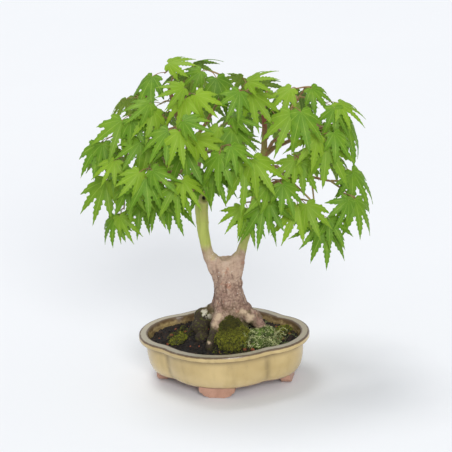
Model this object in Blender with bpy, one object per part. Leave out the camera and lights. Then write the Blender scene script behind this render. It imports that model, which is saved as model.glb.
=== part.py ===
"""Japanese maple bonsai with a twin-bough trunk, in a shallow quatrefoil pot on cloud feet.

The pot's long axis lies on X and the tree's front faces -Y, turned a little towards +X.
Metres, +Z up. The origin is the middle of the finished model's box, on the surface that
the feet stand on.
"""

import math
import random

import bpy
from mathutils import Matrix, Vector
from mathutils.bvhtree import BVHTree

MM = 0.001
GAP = 0.0004

# ---------------------------------------------------------------- driving dimensions
# Pot. The plan is four circle arcs: one at each end and one along each side.
RIM_HEIGHT = 0.050
HALF_LENGTH = 0.087
HALF_WIDTH = 0.067
NOTCH_X = 0.0535
NOTCH_Y = 0.0445
ARC_STEPS = 9
LIP_WIDTH = 0.0090
LIP_DEPTH = 0.0055
WALL_INSET = 0.0072
WALL_THICKNESS = 0.0050
FOOT_HEIGHT = 0.0085
FLOOR_THICKNESS = 0.0055
FOOT_WIDTH = 0.036
SOLE_WIDTH = 0.013
FOOT_DEPTH = 0.010
END_FOOT_X = 0.063
SIDE_FOOT_Y = 0.0455
DRAIN_X = 0.030
DRAIN_RADIUS = 0.008

# Drain mesh squares, held by bent wires.
SCREEN_SIDE = 0.026
SCREEN_CELLS = 4
SCREEN_BAR = 0.0011
SCREEN_THICKNESS = 0.0008
WIRE_RADIUS = 0.0007
CLIP_LEG_X = 0.0045
CLIP_FOOT = 0.015

# Soil and its mound.
SOIL_BELOW_RIM = 0.0070
MOUND_HEIGHT = 0.025
MOUND_RADIUS = 0.031
POCKET_SIDE = 0.029
POCKET_DEPTH = 0.0042

# Tree. Its own front is turned this far about Z from the pot's front.
TREE_TURN = math.radians(12)
LEAF_THICKNESS = 0.0009
TEST_THICKNESS = 0.0018  # a blade's thickness while its clearance is tried
PETIOLE_LENGTH = 0.016
PETIOLE_RADIUS = 0.0006
STEM_RADIUS = 0.0009

# Wood: rows of (x, y, z, radius) in millimetres, in the tree's own frame.
TRUNK = [(7, 0, 52, 19), (7, 0, 62, 22.5), (8, 0, 74, 19.5), (7.5, 0, 88, 15.5),
         (7, 0, 103, 13.4), (7, 0, 113, 12.6), (6.5, 0, 122, 10), (6.5, 0, 127.5, 8),
         (6.5, 0, 130.5, 4.5)]
LEFT_BOUGH = [(3, 0, 100, 10), (0.5, 0, 112, 9.8), (-4.5, 0, 122, 8.2), (-9.5, 0, 131, 6),
              (-11.5, 0, 140, 5.7), (-13.3, 0, 158, 6.0), (-13.5, 0, 178, 6.6),
              (-12.5, 0, 192, 7.4), (-13.5, 2, 206, 5.4), (-18, 4, 232, 4.4),
              (-24, 5, 255, 3.6), (-32, 4, 280, 2.8), (-36, 2, 304, 1.8)]
RIGHT_BOUGH = [(10, 0, 100, 10), (13.5, 0, 112, 9.6), (17.8, 0, 122, 7.8), (22.3, 0, 132, 5.0),
               (26.3, 0, 144, 4.3), (32, 1, 159, 4.2), (39, 2, 185, 4.0), (46, 2, 212, 3.6),
               (51, 1, 236, 3.2), (52.5, 0, 258, 2.6), (52.5, 0, 274, 2.4)]
ROOTS = [
    [(2, -8, 75, 8), (-2, -16, 69, 6.5), (-5, -23, 61, 5), (-8, -30, 50, 3.5)],
    [(18, -4, 74, 8), (29, -10, 68, 7.5), (35, -13, 62, 6.5), (43, -18, 50, 4)],
    [(-4, 2, 74, 9), (-15, 3, 68, 8), (-24, 4, 59, 6), (-35, 5, 46, 3.5)],
    [(12, 10, 72, 8), (20, 20, 65, 7), (28, 29, 54, 5), (34, 36, 44, 3.5)],
    [(0, 10, 72, 8), (-8, 20, 65, 7), (-15, 28, 54, 5), (-21, 34, 44, 3.5)],
]
LIMBS = [
    [(-13, 0, 197, 3.4), (-36, -4, 209, 2.8), (-58, -8, 214, 2.3), (-83, -10, 214, 1.8),
     (-100, -10, 208, 1.3)],
    [(-34, -4, 208, 2.5), (-43, -3, 222, 2.3), (-58, -2, 231, 2.0), (-72, 0, 243, 1.7),
     (-86, 2, 262, 1.3)],
    [(-43, -3, 222, 2.2), (-48, 0, 250, 1.9), (-54, 3, 280, 1.6), (-60, 5, 302, 1.2)],
    [(-15, 3, 216, 2.6), (-12, -12, 230, 2.3), (-8, -26, 242, 1.8), (-4, -34, 246, 1.4)],
    [(-18, 4, 232, 2.5), (-24, 26, 246, 2.1), (-34, 44, 252, 1.7), (-46, 56, 246, 1.3)],
    [(-21, 4, 242, 2.4), (-4, 3, 264, 2.0), (10, 1, 286, 1.6), (18, 0, 302, 1.2)],
    [(50, 1, 228, 2.8), (60, 0, 237, 2.5), (82, -2, 246, 2.1), (100, -2, 253, 1.7),
     (122, -2, 258, 1.3)],
    [(42, 2, 196, 2.6), (66, -4, 205, 2.2), (92, -6, 208, 1.7), (114, -8, 202, 1.3)],
    [(47, 2, 214, 2.4), (55, -12, 222, 2.1), (62, -26, 226, 1.7), (66, -36, 222, 1.3)],
    [(48, 2, 222, 2.5), (60, 24, 236, 2.1), (76, 42, 240, 1.7), (90, 54, 232, 1.3)],
    [(52, 1, 246, 2.2), (68, 2, 262, 1.9), (84, 3, 280, 1.5), (94, 4, 294, 1.2)],
    [(44, 2, 205, 2.4), (36, 26, 216, 2.0), (28, 48, 222, 1.6), (20, 66, 214, 1.2)],
    [(37, 2, 178, 2.0), (44, -14, 184, 1.8), (52, -26, 188, 1.4)],
    [(-13, 2, 205, 2.2), (-20, 24, 208, 1.9), (-36, 44, 208, 1.5), (-54, 54, 202, 1.2)],
]

# Leaf sprays: the shoot's tip in millimetres in the tree's own frame, then each leaf as
# its heading (clock angle seen from the front, 180 hangs straight down) and length.
SPRAYS = [
    (-38, -10, 320, (212, 38), (80, 30)),
    (4, -6, 318, (172, 38), (225, 28)),
    (-14, -26, 304, (200, 38), (140, 34), (265, 30)),
    (-44, -24, 300, (195, 36), (235, 32)),
    (-70, -18, 284, (200, 42), (160, 34)),
    (-94, -12, 262, (196, 38), (165, 32)),
    (-90, -16, 226, (198, 44), (160, 32)),
    (-26, -36, 284, (220, 38), (170, 36), (110, 30)),
    (10, -56, 258, (190, 38), (130, 34)),
    (-22, -44, 266, (195, 42), (125, 34), (250, 32)),
    (-58, -34, 268, (150, 36), (205, 36)),
    (-54, -42, 246, (182, 42), (225, 32), (130, 32)),
    (-2, -48, 236, (205, 40), (160, 36)),
    (16, -36, 278, (225, 34), (165, 38), (100, 30)),
    (-80, -30, 252, (186, 34), (220, 30)),
    (-74, -34, 226, (195, 34), (155, 32)),
    (-66, -28, 206, (190, 34), (150, 32)),
    (-82, -22, 200, (198, 32), (165, 30)),
    (-44, -36, 204, (168, 36), (215, 32)),
    (-30, -44, 226, (184, 40), (145, 32)),
    (32, -26, 302, (162, 42), (70, 32), (215, 32)),
    (102, -34, 258, (185, 48), (225, 36), (145, 34)),
    (70, -28, 286, (205, 44), (165, 42)),
    (84, -8, 296, (240, 32), (150, 30)),
    (98, -12, 288, (125, 36), (175, 34)),
    (116, -10, 268, (168, 46), (195, 36)),
    (30, -46, 250, (186, 46), (140, 40), (235, 34)),
    (78, -32, 238, (180, 36), (220, 32)),
    (54, -42, 226, (228, 36), (160, 34)),
    (46, -48, 208, (186, 42), (150, 34)),
    (28, -38, 196, (176, 34), (212, 30)),
    (78, -36, 196, (203, 40), (165, 38)),
    (96, -24, 172, (177, 42), (215, 32), (145, 32)),
    (112, -16, 194, (170, 40), (205, 34)),
    (124, -8, 216, (165, 44), (190, 32)),
    (-66, 10, 292, (205, 34), (160, 34)),
    (-14, 12, 306, (160, 34), (215, 32), (90, 28)),
    (38, 14, 292, (185, 36), (140, 34), (240, 28)),
    (80, 22, 284, (165, 36), (205, 34)),
    (-92, 16, 240, (200, 38), (165, 34)),
    (-54, 44, 262, (200, 40), (155, 38), (250, 30)),
    (-8, 44, 276, (195, 40), (150, 38), (245, 32)),
    (30, 38, 262, (200, 40), (140, 36)),
    (62, 50, 252, (180, 40), (145, 36), (225, 34)),
    (100, 26, 256, (165, 40), (200, 34)),
    (-44, 54, 214, (190, 38), (220, 34)),
    (16, 60, 226, (185, 40), (150, 36), (225, 34)),
    (86, 48, 214, (180, 40), (145, 36)),
    (106, 18, 222, (160, 38), (195, 34)),
]
# A spray that would run into its neighbours is pushed outwards (mm), lifted (mm), turned
# (deg) or leaves its limb at another slant, with the smallest change tried first.
VARIANTS = sorted(
    [(push, lift, turn, slant)
     for push in (0, 6, -6, 12, 18, 25)
     for lift in (0, 6, -6, 12)
     for turn in (0, 10, -10, 20, -20, 35)
     for slant in (0.35, 0.0, 0.8)],
    key=lambda way: abs(way[0]) / 6 + abs(way[1]) / 5 + abs(way[2]) / 8 + abs(way[3] - 0.35),
)

# Palmate leaf: lobe angle (deg) and its reach as a share of the middle lobe's length.
LEAF_OUTLINE = [(0, 1.0), (14, 0.40), (28, 0.93), (44, 0.36), (60, 0.70), (102, 0.34)]
LEAF_BACK = 0.07  # reach straight back, past the petiole
LEAF_CROWN = 0.12  # how far in front of the petiole the blade is highest
LEAF_DROOP = 0.20  # fall of the middle lobe's point
LEAF_SLANT = 0.6  # how far a leaf points away from the tree's middle plane
LEAF_LAYER = 4.0  # millimetres between the leaves of a spray

# Moss: name, place in the tree's own frame (mm), reach, thickness, stretch and heading.
MOSS = [
    ("moss_front", 8, -33, 0.0135, 7.5 * MM, 1.15, 0.2),
    ("star_moss_right", 40, -30, 0.0115, 3.5 * MM, 1.4, 0.6),
    ("moss_far_right", 60, 2, 0.0085, 2.6 * MM, 1.5, 1.3),
    ("moss_left", -46, -8, 0.0090, 3.4 * MM, 1.2, 1.2),
]


# ---------------------------------------------------------------- helpers
def material(name, colour, roughness, metallic=0.0):
    """A Principled material."""
    made = bpy.data.materials.get(name) or bpy.data.materials.new(name)
    made.use_nodes = True
    shader = made.node_tree.nodes["Principled BSDF"]
    shader.inputs["Base Color"].default_value = (*colour, 1.0)
    shader.inputs["Roughness"].default_value = roughness
    shader.inputs["Metallic"].default_value = metallic
    made.diffuse_color = (*colour, 1.0)
    return made


def mesh_object(name, points, faces, surface=None):
    """An object in the scene from points and faces."""
    mesh = bpy.data.meshes.new(name)
    mesh.from_pydata([tuple(point) for point in points], [], faces)
    mesh.validate()
    made = bpy.data.objects.new(name, mesh)
    bpy.context.scene.collection.objects.link(made)
    if surface:
        mesh.materials.append(surface)
    return made


def loft(rings):
    """Points and faces of a closed body through rings of equal count, capped at both ends."""
    count = len(rings[0])
    points = [point for ring in rings for point in ring]
    faces = [list(range(count))[::-1]]
    for level in range(len(rings) - 1):
        low = level * count
        for step in range(count):
            following = (step + 1) % count
            faces.append((low + step, low + following, low + count + following, low + count + step))
    last = (len(rings) - 1) * count
    faces.append([last + step for step in range(count)])
    return points, faces


def tube(path, sides, extra=0.0):
    """Points and faces of a tapering tube along (point, radius) pairs, `extra` wider."""
    centres = [Vector(point) for point, _ in path]
    across = None
    rings = []
    for index, (_, radius) in enumerate(path):
        before = centres[max(index - 1, 0)]
        after = centres[min(index + 1, len(centres) - 1)]
        along = (after - before).normalized()
        if across is None:
            across = along.orthogonal().normalized()
        across = (across - along * across.dot(along)).normalized()
        other = along.cross(across)
        ring = []
        for step in range(sides):
            angle = 2 * math.pi * step / sides
            offset = across * math.cos(angle) + other * math.sin(angle)
            ring.append(centres[index] + offset * (radius + extra))
        rings.append(ring)
    return loft(rings)


def boolean(target, operands, operation):
    """Applies one exact Boolean per operand to the target and removes the operands."""
    for operand in operands:
        modifier = target.modifiers.new(operation.title(), "BOOLEAN")
        modifier.operation = operation
        modifier.solver = "EXACT"
        modifier.object = operand
        graph = bpy.context.evaluated_depsgraph_get()
        result = bpy.data.meshes.new_from_object(target.evaluated_get(graph))
        target.modifiers.clear()
        target.data = result
        bpy.data.objects.remove(operand, do_unlink=True)


def in_pot_frame(x, y, z):
    """A point of the tree's own frame, given in millimetres, as metres in the pot's frame."""
    return Matrix.Rotation(TREE_TURN, 3, "Z") @ Vector((x, y, z)) * MM


# ---------------------------------------------------------------- pot
def arc_centre(reach, near, far):
    """Centre, on its axis, of the arc through (reach, 0) and (near, far)."""
    return (reach**2 - near**2 - far**2) / (2 * (reach - near))


END_CENTRE = arc_centre(HALF_LENGTH, NOTCH_X, NOTCH_Y)
SIDE_CENTRE = arc_centre(HALF_WIDTH, NOTCH_Y, NOTCH_X)


def notch(inset):
    """Where an end arc meets a side arc once both are moved inwards by `inset`."""
    end_radius = HALF_LENGTH - END_CENTRE - inset
    side_radius = HALF_WIDTH - SIDE_CENTRE - inset
    apart = Vector((-END_CENTRE, SIDE_CENTRE))
    along = (apart.length_squared + end_radius**2 - side_radius**2) / (2 * apart.length)
    aside = math.sqrt(end_radius**2 - along**2)
    unit = apart.normalized()
    corner = Vector((END_CENTRE, 0)) + unit * along + Vector((unit.y, -unit.x)) * aside
    return Vector((abs(corner.x), abs(corner.y)))


def quatrefoil(inset, height):
    """One ring of the pot's plan at a height, `inset` inside the lip's edge."""
    corner = notch(inset)
    end_radius = HALF_LENGTH - END_CENTRE - inset
    side_radius = HALF_WIDTH - SIDE_CENTRE - inset
    end_half = math.atan2(corner.y, corner.x - END_CENTRE)
    side_half = math.atan2(corner.x, corner.y - SIDE_CENTRE)
    ring = []
    for quarter, (centre, radius, half) in enumerate(
        [(END_CENTRE, end_radius, end_half), (SIDE_CENTRE, side_radius, side_half)] * 2
    ):
        facing = quarter * math.pi / 2
        for step in range(ARC_STEPS):
            angle = half * (2 * step / ARC_STEPS - 1)
            reach = centre + radius * math.cos(angle)
            aside = radius * math.sin(angle)
            x = reach * math.cos(facing) - aside * math.sin(facing)
            y = reach * math.sin(facing) + aside * math.cos(facing)
            ring.append(Vector((x, y, height)))
    return ring


def foot(name, x, y, facing):
    """A cloud foot: a stepped bracket that narrows to its sole."""
    half = [(FOOT_WIDTH / 2, 4.0 * MM), (FOOT_WIDTH / 2, -1.5 * MM), (FOOT_WIDTH * 0.41, -3.4 * MM),
            (FOOT_WIDTH * 0.38, -5.0 * MM), (FOOT_WIDTH * 0.24, -6.2 * MM),
            (SOLE_WIDTH / 2, -FOOT_HEIGHT)]
    outline = [(across, up) for across, up in half] + [(-across, up) for across, up in reversed(half)]
    rings = []
    for out in (-FOOT_DEPTH / 2, FOOT_DEPTH / 2):
        ring = []
        for across, up in outline:
            place = Matrix.Rotation(facing, 3, "Z") @ Vector((out, across, 0))
            ring.append(Vector((x, y, FOOT_HEIGHT + up)) + place)
        rings.append(ring)
    points, faces = loft(rings)
    return mesh_object(name, points, [face[::-1] for face in map(list, faces)])


def make_pot():
    """The fired pot: profile ring by ring, then its feet and its drain holes."""
    floor_top = FOOT_HEIGHT + FLOOR_THICKNESS
    lip_under = RIM_HEIGHT - LIP_DEPTH
    inner = WALL_INSET + WALL_THICKNESS
    profile = [
        (0.0210, FOOT_HEIGHT), (0.0150, FOOT_HEIGHT + 1.3 * MM), (0.0115, FOOT_HEIGHT + 5 * MM),
        (0.0088, FOOT_HEIGHT + 13 * MM), (WALL_INSET, FOOT_HEIGHT + 24 * MM),
        (WALL_INSET, lip_under - 0.8 * MM), (1.0 * MM, lip_under), (0.0, lip_under + 1.0 * MM),
        (0.0, RIM_HEIGHT - 0.9 * MM), (1.0 * MM, RIM_HEIGHT), (LIP_WIDTH - 0.8 * MM, RIM_HEIGHT),
        (LIP_WIDTH, RIM_HEIGHT - 0.9 * MM), (inner - 0.8 * MM, RIM_HEIGHT - 8 * MM),
        (inner + 0.3 * MM, FOOT_HEIGHT + 18 * MM), (inner + 3 * MM, floor_top + 3 * MM),
        (inner + 7 * MM, floor_top),
    ]
    points, faces = loft([quatrefoil(inset, height) for inset, height in profile])
    pot = mesh_object("pot", points, faces, material("glazed_celadon", (0.58, 0.50, 0.29), 0.25))
    feet = [
        foot("foot_right", END_FOOT_X, 0, 0),
        foot("foot_back", 0, SIDE_FOOT_Y, math.pi / 2),
        foot("foot_left", -END_FOOT_X, 0, math.pi),
        foot("foot_front", 0, -SIDE_FOOT_Y, -math.pi / 2),
    ]
    boolean(pot, feet, "UNION")
    drains = []
    for side in (-1, 1):
        circle = [
            (side * DRAIN_X + DRAIN_RADIUS * math.cos(angle), DRAIN_RADIUS * math.sin(angle))
            for angle in [2 * math.pi * step / 20 for step in range(20)]
        ]
        rings = [[Vector((x, y, height)) for x, y in circle] for height in (0.0, floor_top + 2 * MM)]
        drains.append(mesh_object("drain", *loft(rings)))
    boolean(pot, drains, "DIFFERENCE")
    return pot


# ---------------------------------------------------------------- drain mesh and clips
def make_screen(name, middle_x):
    """A square of plastic mesh: crossing bars with open cells between them."""
    bottom = FOOT_HEIGHT + FLOOR_THICKNESS + GAP
    pitch = (SCREEN_SIDE - SCREEN_BAR) / SCREEN_CELLS
    lines = []
    for index in range(SCREEN_CELLS + 1):
        start = -SCREEN_SIDE / 2 + index * pitch
        lines += [start, start + SCREEN_BAR]
    count = len(lines)
    points = []
    for height in (bottom, bottom + SCREEN_THICKNESS):
        points += [Vector((middle_x + x, y, height)) for y in lines for x in lines]
    top = count * count

    def solid(column, row):
        inside = 0 <= column < count - 1 and 0 <= row < count - 1
        return inside and (column % 2 == 0 or row % 2 == 0)

    faces = []
    for row in range(count - 1):
        for column in range(count - 1):
            if not solid(column, row):
                continue
            corner = row * count + column
            square = [corner, corner + 1, corner + count + 1, corner + count]
            faces.append(square[::-1])
            faces.append([top + index for index in square])
            for edge, (step_x, step_y) in enumerate([(0, -1), (1, 0), (0, 1), (-1, 0)]):
                if not solid(column + step_x, row + step_y):
                    first = square[edge]
                    second = square[(edge + 1) % 4]
                    faces.append([first, second, top + second, top + first])
    return mesh_object(name, points, faces, material("green_plastic_mesh", (0.05, 0.16, 0.06), 0.5))


def make_clip(name, middle_x):
    """A wire bent to a flat staple: it lies on the mesh, passes the hole and turns out below."""
    above = FOOT_HEIGHT + FLOOR_THICKNESS + GAP + SCREEN_THICKNESS + GAP + WIRE_RADIUS
    below = FOOT_HEIGHT - GAP - WIRE_RADIUS
    route = [(-CLIP_FOOT, below), (-CLIP_LEG_X - 1.2 * MM, below), (-CLIP_LEG_X, below + 1.2 * MM),
             (-CLIP_LEG_X, above - 1.2 * MM), (-CLIP_LEG_X + 1.2 * MM, above),
             (CLIP_LEG_X - 1.2 * MM, above), (CLIP_LEG_X, above - 1.2 * MM),
             (CLIP_LEG_X, below + 1.2 * MM), (CLIP_LEG_X + 1.2 * MM, below), (CLIP_FOOT, below)]
    half_cell = (SCREEN_SIDE - SCREEN_BAR) / SCREEN_CELLS / 2
    path = [(Vector((middle_x + x, half_cell, height)), WIRE_RADIUS) for x, height in route]
    return mesh_object(name, *tube(path, 6), material("aluminium_wire", (0.45, 0.28, 0.18), 0.4, 1.0))


# ---------------------------------------------------------------- soil
def soil_height(x, y):
    """Height of the soil: level in the dish, with a mound under the tree."""
    middle = in_pot_frame(4, -2, 0)
    away = math.hypot(x - middle.x, y - middle.y)
    level = RIM_HEIGHT - SOIL_BELOW_RIM
    return level + MOUND_HEIGHT * math.exp(-((away / MOUND_RADIUS) ** 2))


def root_socket(root_paths):
    """The room that the trunk's base and its roots need, a hair's breadth wider than they are."""
    sockets = [mesh_object("root_socket", *tube(path, 10, extra=2 * GAP)) for path in root_paths]
    boolean(sockets[0], sockets[1:], "UNION")
    return sockets[0]


def make_soil(root_paths):
    """The soil fills the dish, with pockets over the drain mesh and round the roots."""
    bottom = FOOT_HEIGHT + FLOOR_THICKNESS + GAP
    inner = WALL_INSET + WALL_THICKNESS + GAP
    rings = [
        quatrefoil(inner + 7.6 * MM, bottom),
        quatrefoil(inner + 3.4 * MM, bottom + 3.2 * MM),
        quatrefoil(inner + 0.5 * MM, FOOT_HEIGHT + 18 * MM),
        quatrefoil(inner - 0.1 * MM, RIM_HEIGHT - SOIL_BELOW_RIM - 2 * MM),
    ]
    edge = quatrefoil(inner + 0.2 * MM, 0)
    for share in (1.0, 0.8, 0.62, 0.47, 0.33, 0.18):
        ring = []
        for point in edge:
            x = point.x * share
            y = point.y * share
            ring.append(Vector((x, y, soil_height(x, y))))
        rings.append(ring)
    soil = mesh_object("soil", *loft(rings), material("soil", (0.045, 0.03, 0.02), 0.95))
    cutters = []
    for side in (-1, 1):
        half = POCKET_SIDE / 2
        square = [(-half, -half), (half, -half), (half, half), (-half, half)]
        levels = (bottom - 2 * MM, bottom + POCKET_DEPTH)
        pocket = [[Vector((side * DRAIN_X + x, y, height)) for x, y in square] for height in levels]
        cutters.append(mesh_object("pocket", *loft(pocket)))
    cutters.append(root_socket(root_paths))
    boolean(soil, cutters, "DIFFERENCE")
    return soil


# ---------------------------------------------------------------- wood
def wood_path(points):
    """Millimetre rows (x, y, z, radius) as (point, radius) pairs in metres."""
    return [(in_pot_frame(x, y, z), radius * MM) for x, y, z, radius in points]


def make_wood():
    """Trunk, surface roots, boughs and limbs grown together as one solid."""
    bark = material("maple_bark", (0.42, 0.30, 0.22), 0.8)
    wood = mesh_object("trunk_and_branches", *tube(wood_path(TRUNK), 10), bark)
    parts = []
    for bough in (LEFT_BOUGH, RIGHT_BOUGH):
        parts.append(mesh_object("bough", *tube(wood_path(bough), 8)))
    for root in ROOTS:
        parts.append(mesh_object("root", *tube(wood_path(root), 7)))
    for limb in LIMBS:
        parts.append(mesh_object("limb", *tube(wood_path(limb), 5)))
    boolean(wood, parts, "UNION")
    return wood


# ---------------------------------------------------------------- moss
def make_moss(name, x, y, reach, thickness, stretch, heading, root_paths):
    """A low cushion of moss that follows the soil under it and parts round the roots."""
    middle = in_pot_frame(x, y, 0)
    sides = 10
    rings = []
    turn = Matrix.Rotation(heading, 2)

    def ring(share, lift):
        points = []
        for step in range(sides):
            angle = 2 * math.pi * step / sides
            flat = turn @ Vector((math.cos(angle) * stretch, math.sin(angle))) * reach * share
            place = (middle.x + flat.x, middle.y + flat.y)
            points.append(Vector((*place, soil_height(*place) + lift)))
        return points

    for share in (0.5, 1.0):
        rings.append(ring(share, 0.9 * MM))
    for share, rise in ((0.97, 0.45), (0.8, 0.8), (0.45, 1.0), (0.15, 1.0)):
        rings.append(ring(share, 0.9 * MM + thickness * rise))
    moss = mesh_object(name, *loft(rings), material("moss", (0.10, 0.16, 0.03), 0.95))
    boolean(moss, [root_socket(root_paths)], "DIFFERENCE")
    return moss


# ---------------------------------------------------------------- leaves
def leaf_axes(tip, heading):
    """The way a leaf points and the way its upper face looks, in the tree's own frame."""
    clock = math.radians(heading)
    outward = max(-1.0, min(1.0, tip.y / 12.0))
    top = max(0.0, min(1.0, (tip.z - 260) / 70))
    axis = Vector((math.sin(clock), LEAF_SLANT * outward, math.cos(clock) * (1 - 0.4 * top))).normalized()
    face = Vector((0.5 * tip.x / 140, outward, 0.75))
    face = (face - axis * face.dot(axis)).normalized()
    return axis, face


def leaf_frame(tip, heading, length, roll):
    """Junction of petiole and blade in millimetres, with the blade's three axes."""
    axis, face = leaf_axes(tip, heading)
    side = face.cross(axis)
    face = (face * math.cos(roll) + side * math.sin(roll)).normalized()
    side = face.cross(axis)
    outward = Vector((tip.x * 0.4, tip.y * 1.2, 0)).normalized()
    reach = (axis * 0.75 + outward * 0.45 + Vector((0, 0, 0.45))).normalized()
    junction = tip + reach * (PETIOLE_LENGTH / MM) * (0.6 + length / 100)
    return junction, axis, side, face


def blade(junction, axis, side, face, length, thickness):
    """Points (mm, tree frame) and faces of one thin drooping palmate blade."""
    outline = list(LEAF_OUTLINE) + [(180, LEAF_BACK)]
    outline += [(-angle, reach) for angle, reach in reversed(LEAF_OUTLINE[1:])]
    half = thickness / MM / 2
    crown = junction + axis * LEAF_CROWN * length
    points = [crown + face * half, crown - face * half]
    for angle, reach in outline:
        turned = math.radians(angle)
        flat = axis * math.cos(turned) + side * math.sin(turned)
        points.append(junction + flat * reach * length - face * LEAF_DROOP * reach**2 * length)
    faces = []
    count = len(outline)
    for step in range(count):
        first = 2 + step
        second = 2 + (step + 1) % count
        faces.append((0, second, first))
        faces.append((1, first, second))
    return points, faces


def limb_segments():
    """Every limb and upper bough as straight segments with their radii."""
    runs = [LEFT_BOUGH[6:], RIGHT_BOUGH[4:]] + LIMBS
    return [(run[index], run[index + 1]) for run in runs for index in range(len(run) - 1)]


def stem_start(tip, slant):
    """Place near the tip for a shoot to leave the wood from, just clear of the bark."""
    best = None
    for first, second in limb_segments():
        start = Vector(first[:3])
        along = Vector(second[:3]) - start
        share = (tip - start).dot(along) / along.length_squared
        share -= slant * (tip - start - along * share).length / along.length
        share = max(0.0, min(1.0, share))
        place = start + along * share
        radius = first[3] + (second[3] - first[3]) * share
        away = (tip - place).length
        if best is None or away < best[0]:
            sine = (tip - place).normalized().cross(along.normalized()).length
            best = (away, place, radius, max(sine, 0.5))
    away, place, radius, sine = best
    clear = (radius + (STEM_RADIUS + GAP) / MM) / sine
    return place + (tip - place).normalized() * clear


def spray_parts(index, way, thickness):
    """The separate solids of one spray, as (points, faces) in the pot's frame."""
    push, lift, turn, slant = way
    x, y, z, *leaves = SPRAYS[index]
    dice = random.Random(100 + index)
    tip = Vector((x, y, z))
    tip += Vector((tip.x * 0.5, tip.y * 1.5, 0)).normalized() * push
    tip.z += lift
    start = stem_start(tip, slant)
    run = tip - start
    bow = Vector((0, 0, 1)) * run.length * 0.08
    stem = [(start, 1.1), (start + run * 0.5 + bow, 1.0), (tip, 0.9)]
    parts = [tube([(point, share * STEM_RADIUS / MM) for point, share in stem], 4)]
    for order, (heading, length) in enumerate(leaves):
        roll = math.radians(dice.uniform(-22, 22))
        swing = dice.uniform(-6, 6)
        junction, axis, side, face = leaf_frame(tip, heading + turn + swing, length, roll)
        junction += face * LEAF_LAYER * order
        origin = tip - run.normalized() * (0.9 + 1.1 * order)
        middle = origin.lerp(junction, 0.5) + Vector((0, 0, 1.5))
        petiole = [(origin, 1.0), (middle, 1.0), (junction + axis * 1.2, 0.8)]
        parts.append(tube([(point, share * PETIOLE_RADIUS / MM) for point, share in petiole], 3))
        parts.append(blade(junction, axis, side, face, length, thickness))
    return [([in_pot_frame(*point) for point in points], faces) for points, faces in parts]


def search_tree(parts):
    """One search tree over the faces of several (points, faces) pairs."""
    all_points = []
    all_faces = []
    for points, faces in parts:
        start = len(all_points)
        all_points += points
        all_faces += [[start + corner for corner in face] for face in faces]
    return BVHTree.FromPolygons(all_points, all_faces)


def object_tree(item):
    """A search tree over an object's faces."""
    points = [vertex.co.copy() for vertex in item.data.vertices]
    return search_tree([(points, [list(face.vertices) for face in item.data.polygons])])


def make_spray(index, earlier, colour):
    """One spray, placed in the first way that touches nothing made before it."""
    name = f"leaf_spray_{index + 1:02d}"
    for way in VARIANTS:
        trial = search_tree(spray_parts(index, way, TEST_THICKNESS))
        if not any(trial.overlap(other) for other in earlier):
            break
    else:
        raise ValueError(f"no clear place for {name}")
    parts = [mesh_object(name, *part) for part in spray_parts(index, way, LEAF_THICKNESS)]
    spray = parts[0]
    spray.data.materials.append(colour)
    boolean(spray, parts[1:], "UNION")
    earlier.append(object_tree(spray))
    return spray


# ---------------------------------------------------------------- assembly
def clear_scene():
    """Removes whatever the scene holds."""
    for item in list(bpy.data.objects):
        bpy.data.objects.remove(item, do_unlink=True)


def stand_at_origin(pieces):
    """Moves every piece so that the model's box stands centred on the origin."""
    corners = [vertex.co for piece in pieces for vertex in piece.data.vertices]
    low = Vector([min(corner[axis] for corner in corners) for axis in range(3)])
    high = Vector([max(corner[axis] for corner in corners) for axis in range(3)])
    shift = Vector((-(low.x + high.x) / 2, -(low.y + high.y) / 2, -low.z))
    for piece in pieces:
        piece.data.transform(Matrix.Translation(shift))
        piece.data.update()


def main():
    clear_scene()
    pieces = [make_pot()]
    for side, label in ((-1, "left"), (1, "right")):
        pieces.append(make_screen(f"drain_mesh_{label}", side * DRAIN_X))
        pieces.append(make_clip(f"mesh_clip_{label}", side * DRAIN_X))
    wood = make_wood()
    pieces.append(wood)
    root_paths = [wood_path(TRUNK)] + [wood_path(root) for root in ROOTS]
    pieces.append(make_soil(root_paths))
    for row in MOSS:
        pieces.append(make_moss(*row, root_paths))
    earlier = [object_tree(piece) for piece in pieces]
    leaf_green = material("maple_leaf", (0.24, 0.45, 0.07), 0.5)
    for index in range(len(SPRAYS)):
        pieces.append(make_spray(index, earlier, leaf_green))
    stand_at_origin(pieces)


main()
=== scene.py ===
import itertools
import math
import random

import bmesh
import bpy
import numpy as np
from mathutils import Matrix, Vector, noise
from mathutils.bvhtree import BVHTree


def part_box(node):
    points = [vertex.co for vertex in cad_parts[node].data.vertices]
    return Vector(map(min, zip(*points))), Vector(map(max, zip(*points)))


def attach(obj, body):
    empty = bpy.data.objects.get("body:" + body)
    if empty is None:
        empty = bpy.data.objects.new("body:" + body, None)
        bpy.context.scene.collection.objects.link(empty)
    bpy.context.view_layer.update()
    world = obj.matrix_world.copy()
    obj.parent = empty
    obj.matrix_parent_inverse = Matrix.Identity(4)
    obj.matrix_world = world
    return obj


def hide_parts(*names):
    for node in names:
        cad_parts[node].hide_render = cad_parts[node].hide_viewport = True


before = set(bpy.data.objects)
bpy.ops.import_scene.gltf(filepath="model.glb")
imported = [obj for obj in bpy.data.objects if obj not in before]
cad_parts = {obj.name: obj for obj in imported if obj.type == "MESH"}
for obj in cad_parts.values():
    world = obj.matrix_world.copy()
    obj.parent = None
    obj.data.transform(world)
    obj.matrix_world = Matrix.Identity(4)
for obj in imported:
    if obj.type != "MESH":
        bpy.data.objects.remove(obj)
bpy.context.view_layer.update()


# ---------------------------------------------------------------- Pot
# A shallow stoneware pot of four lobes with a broad flat lip, pressed in a mould and stood
# on four cloud feet. The celadon glaze breaks brown on the lip's edges and stops short of
# the feet, whose clay is bare. Two drain holes go through its floor.
MM = 0.001
POT_LOW, POT_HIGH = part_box("pot")
POT_MIDDLE = (POT_LOW + POT_HIGH) / 2
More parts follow.
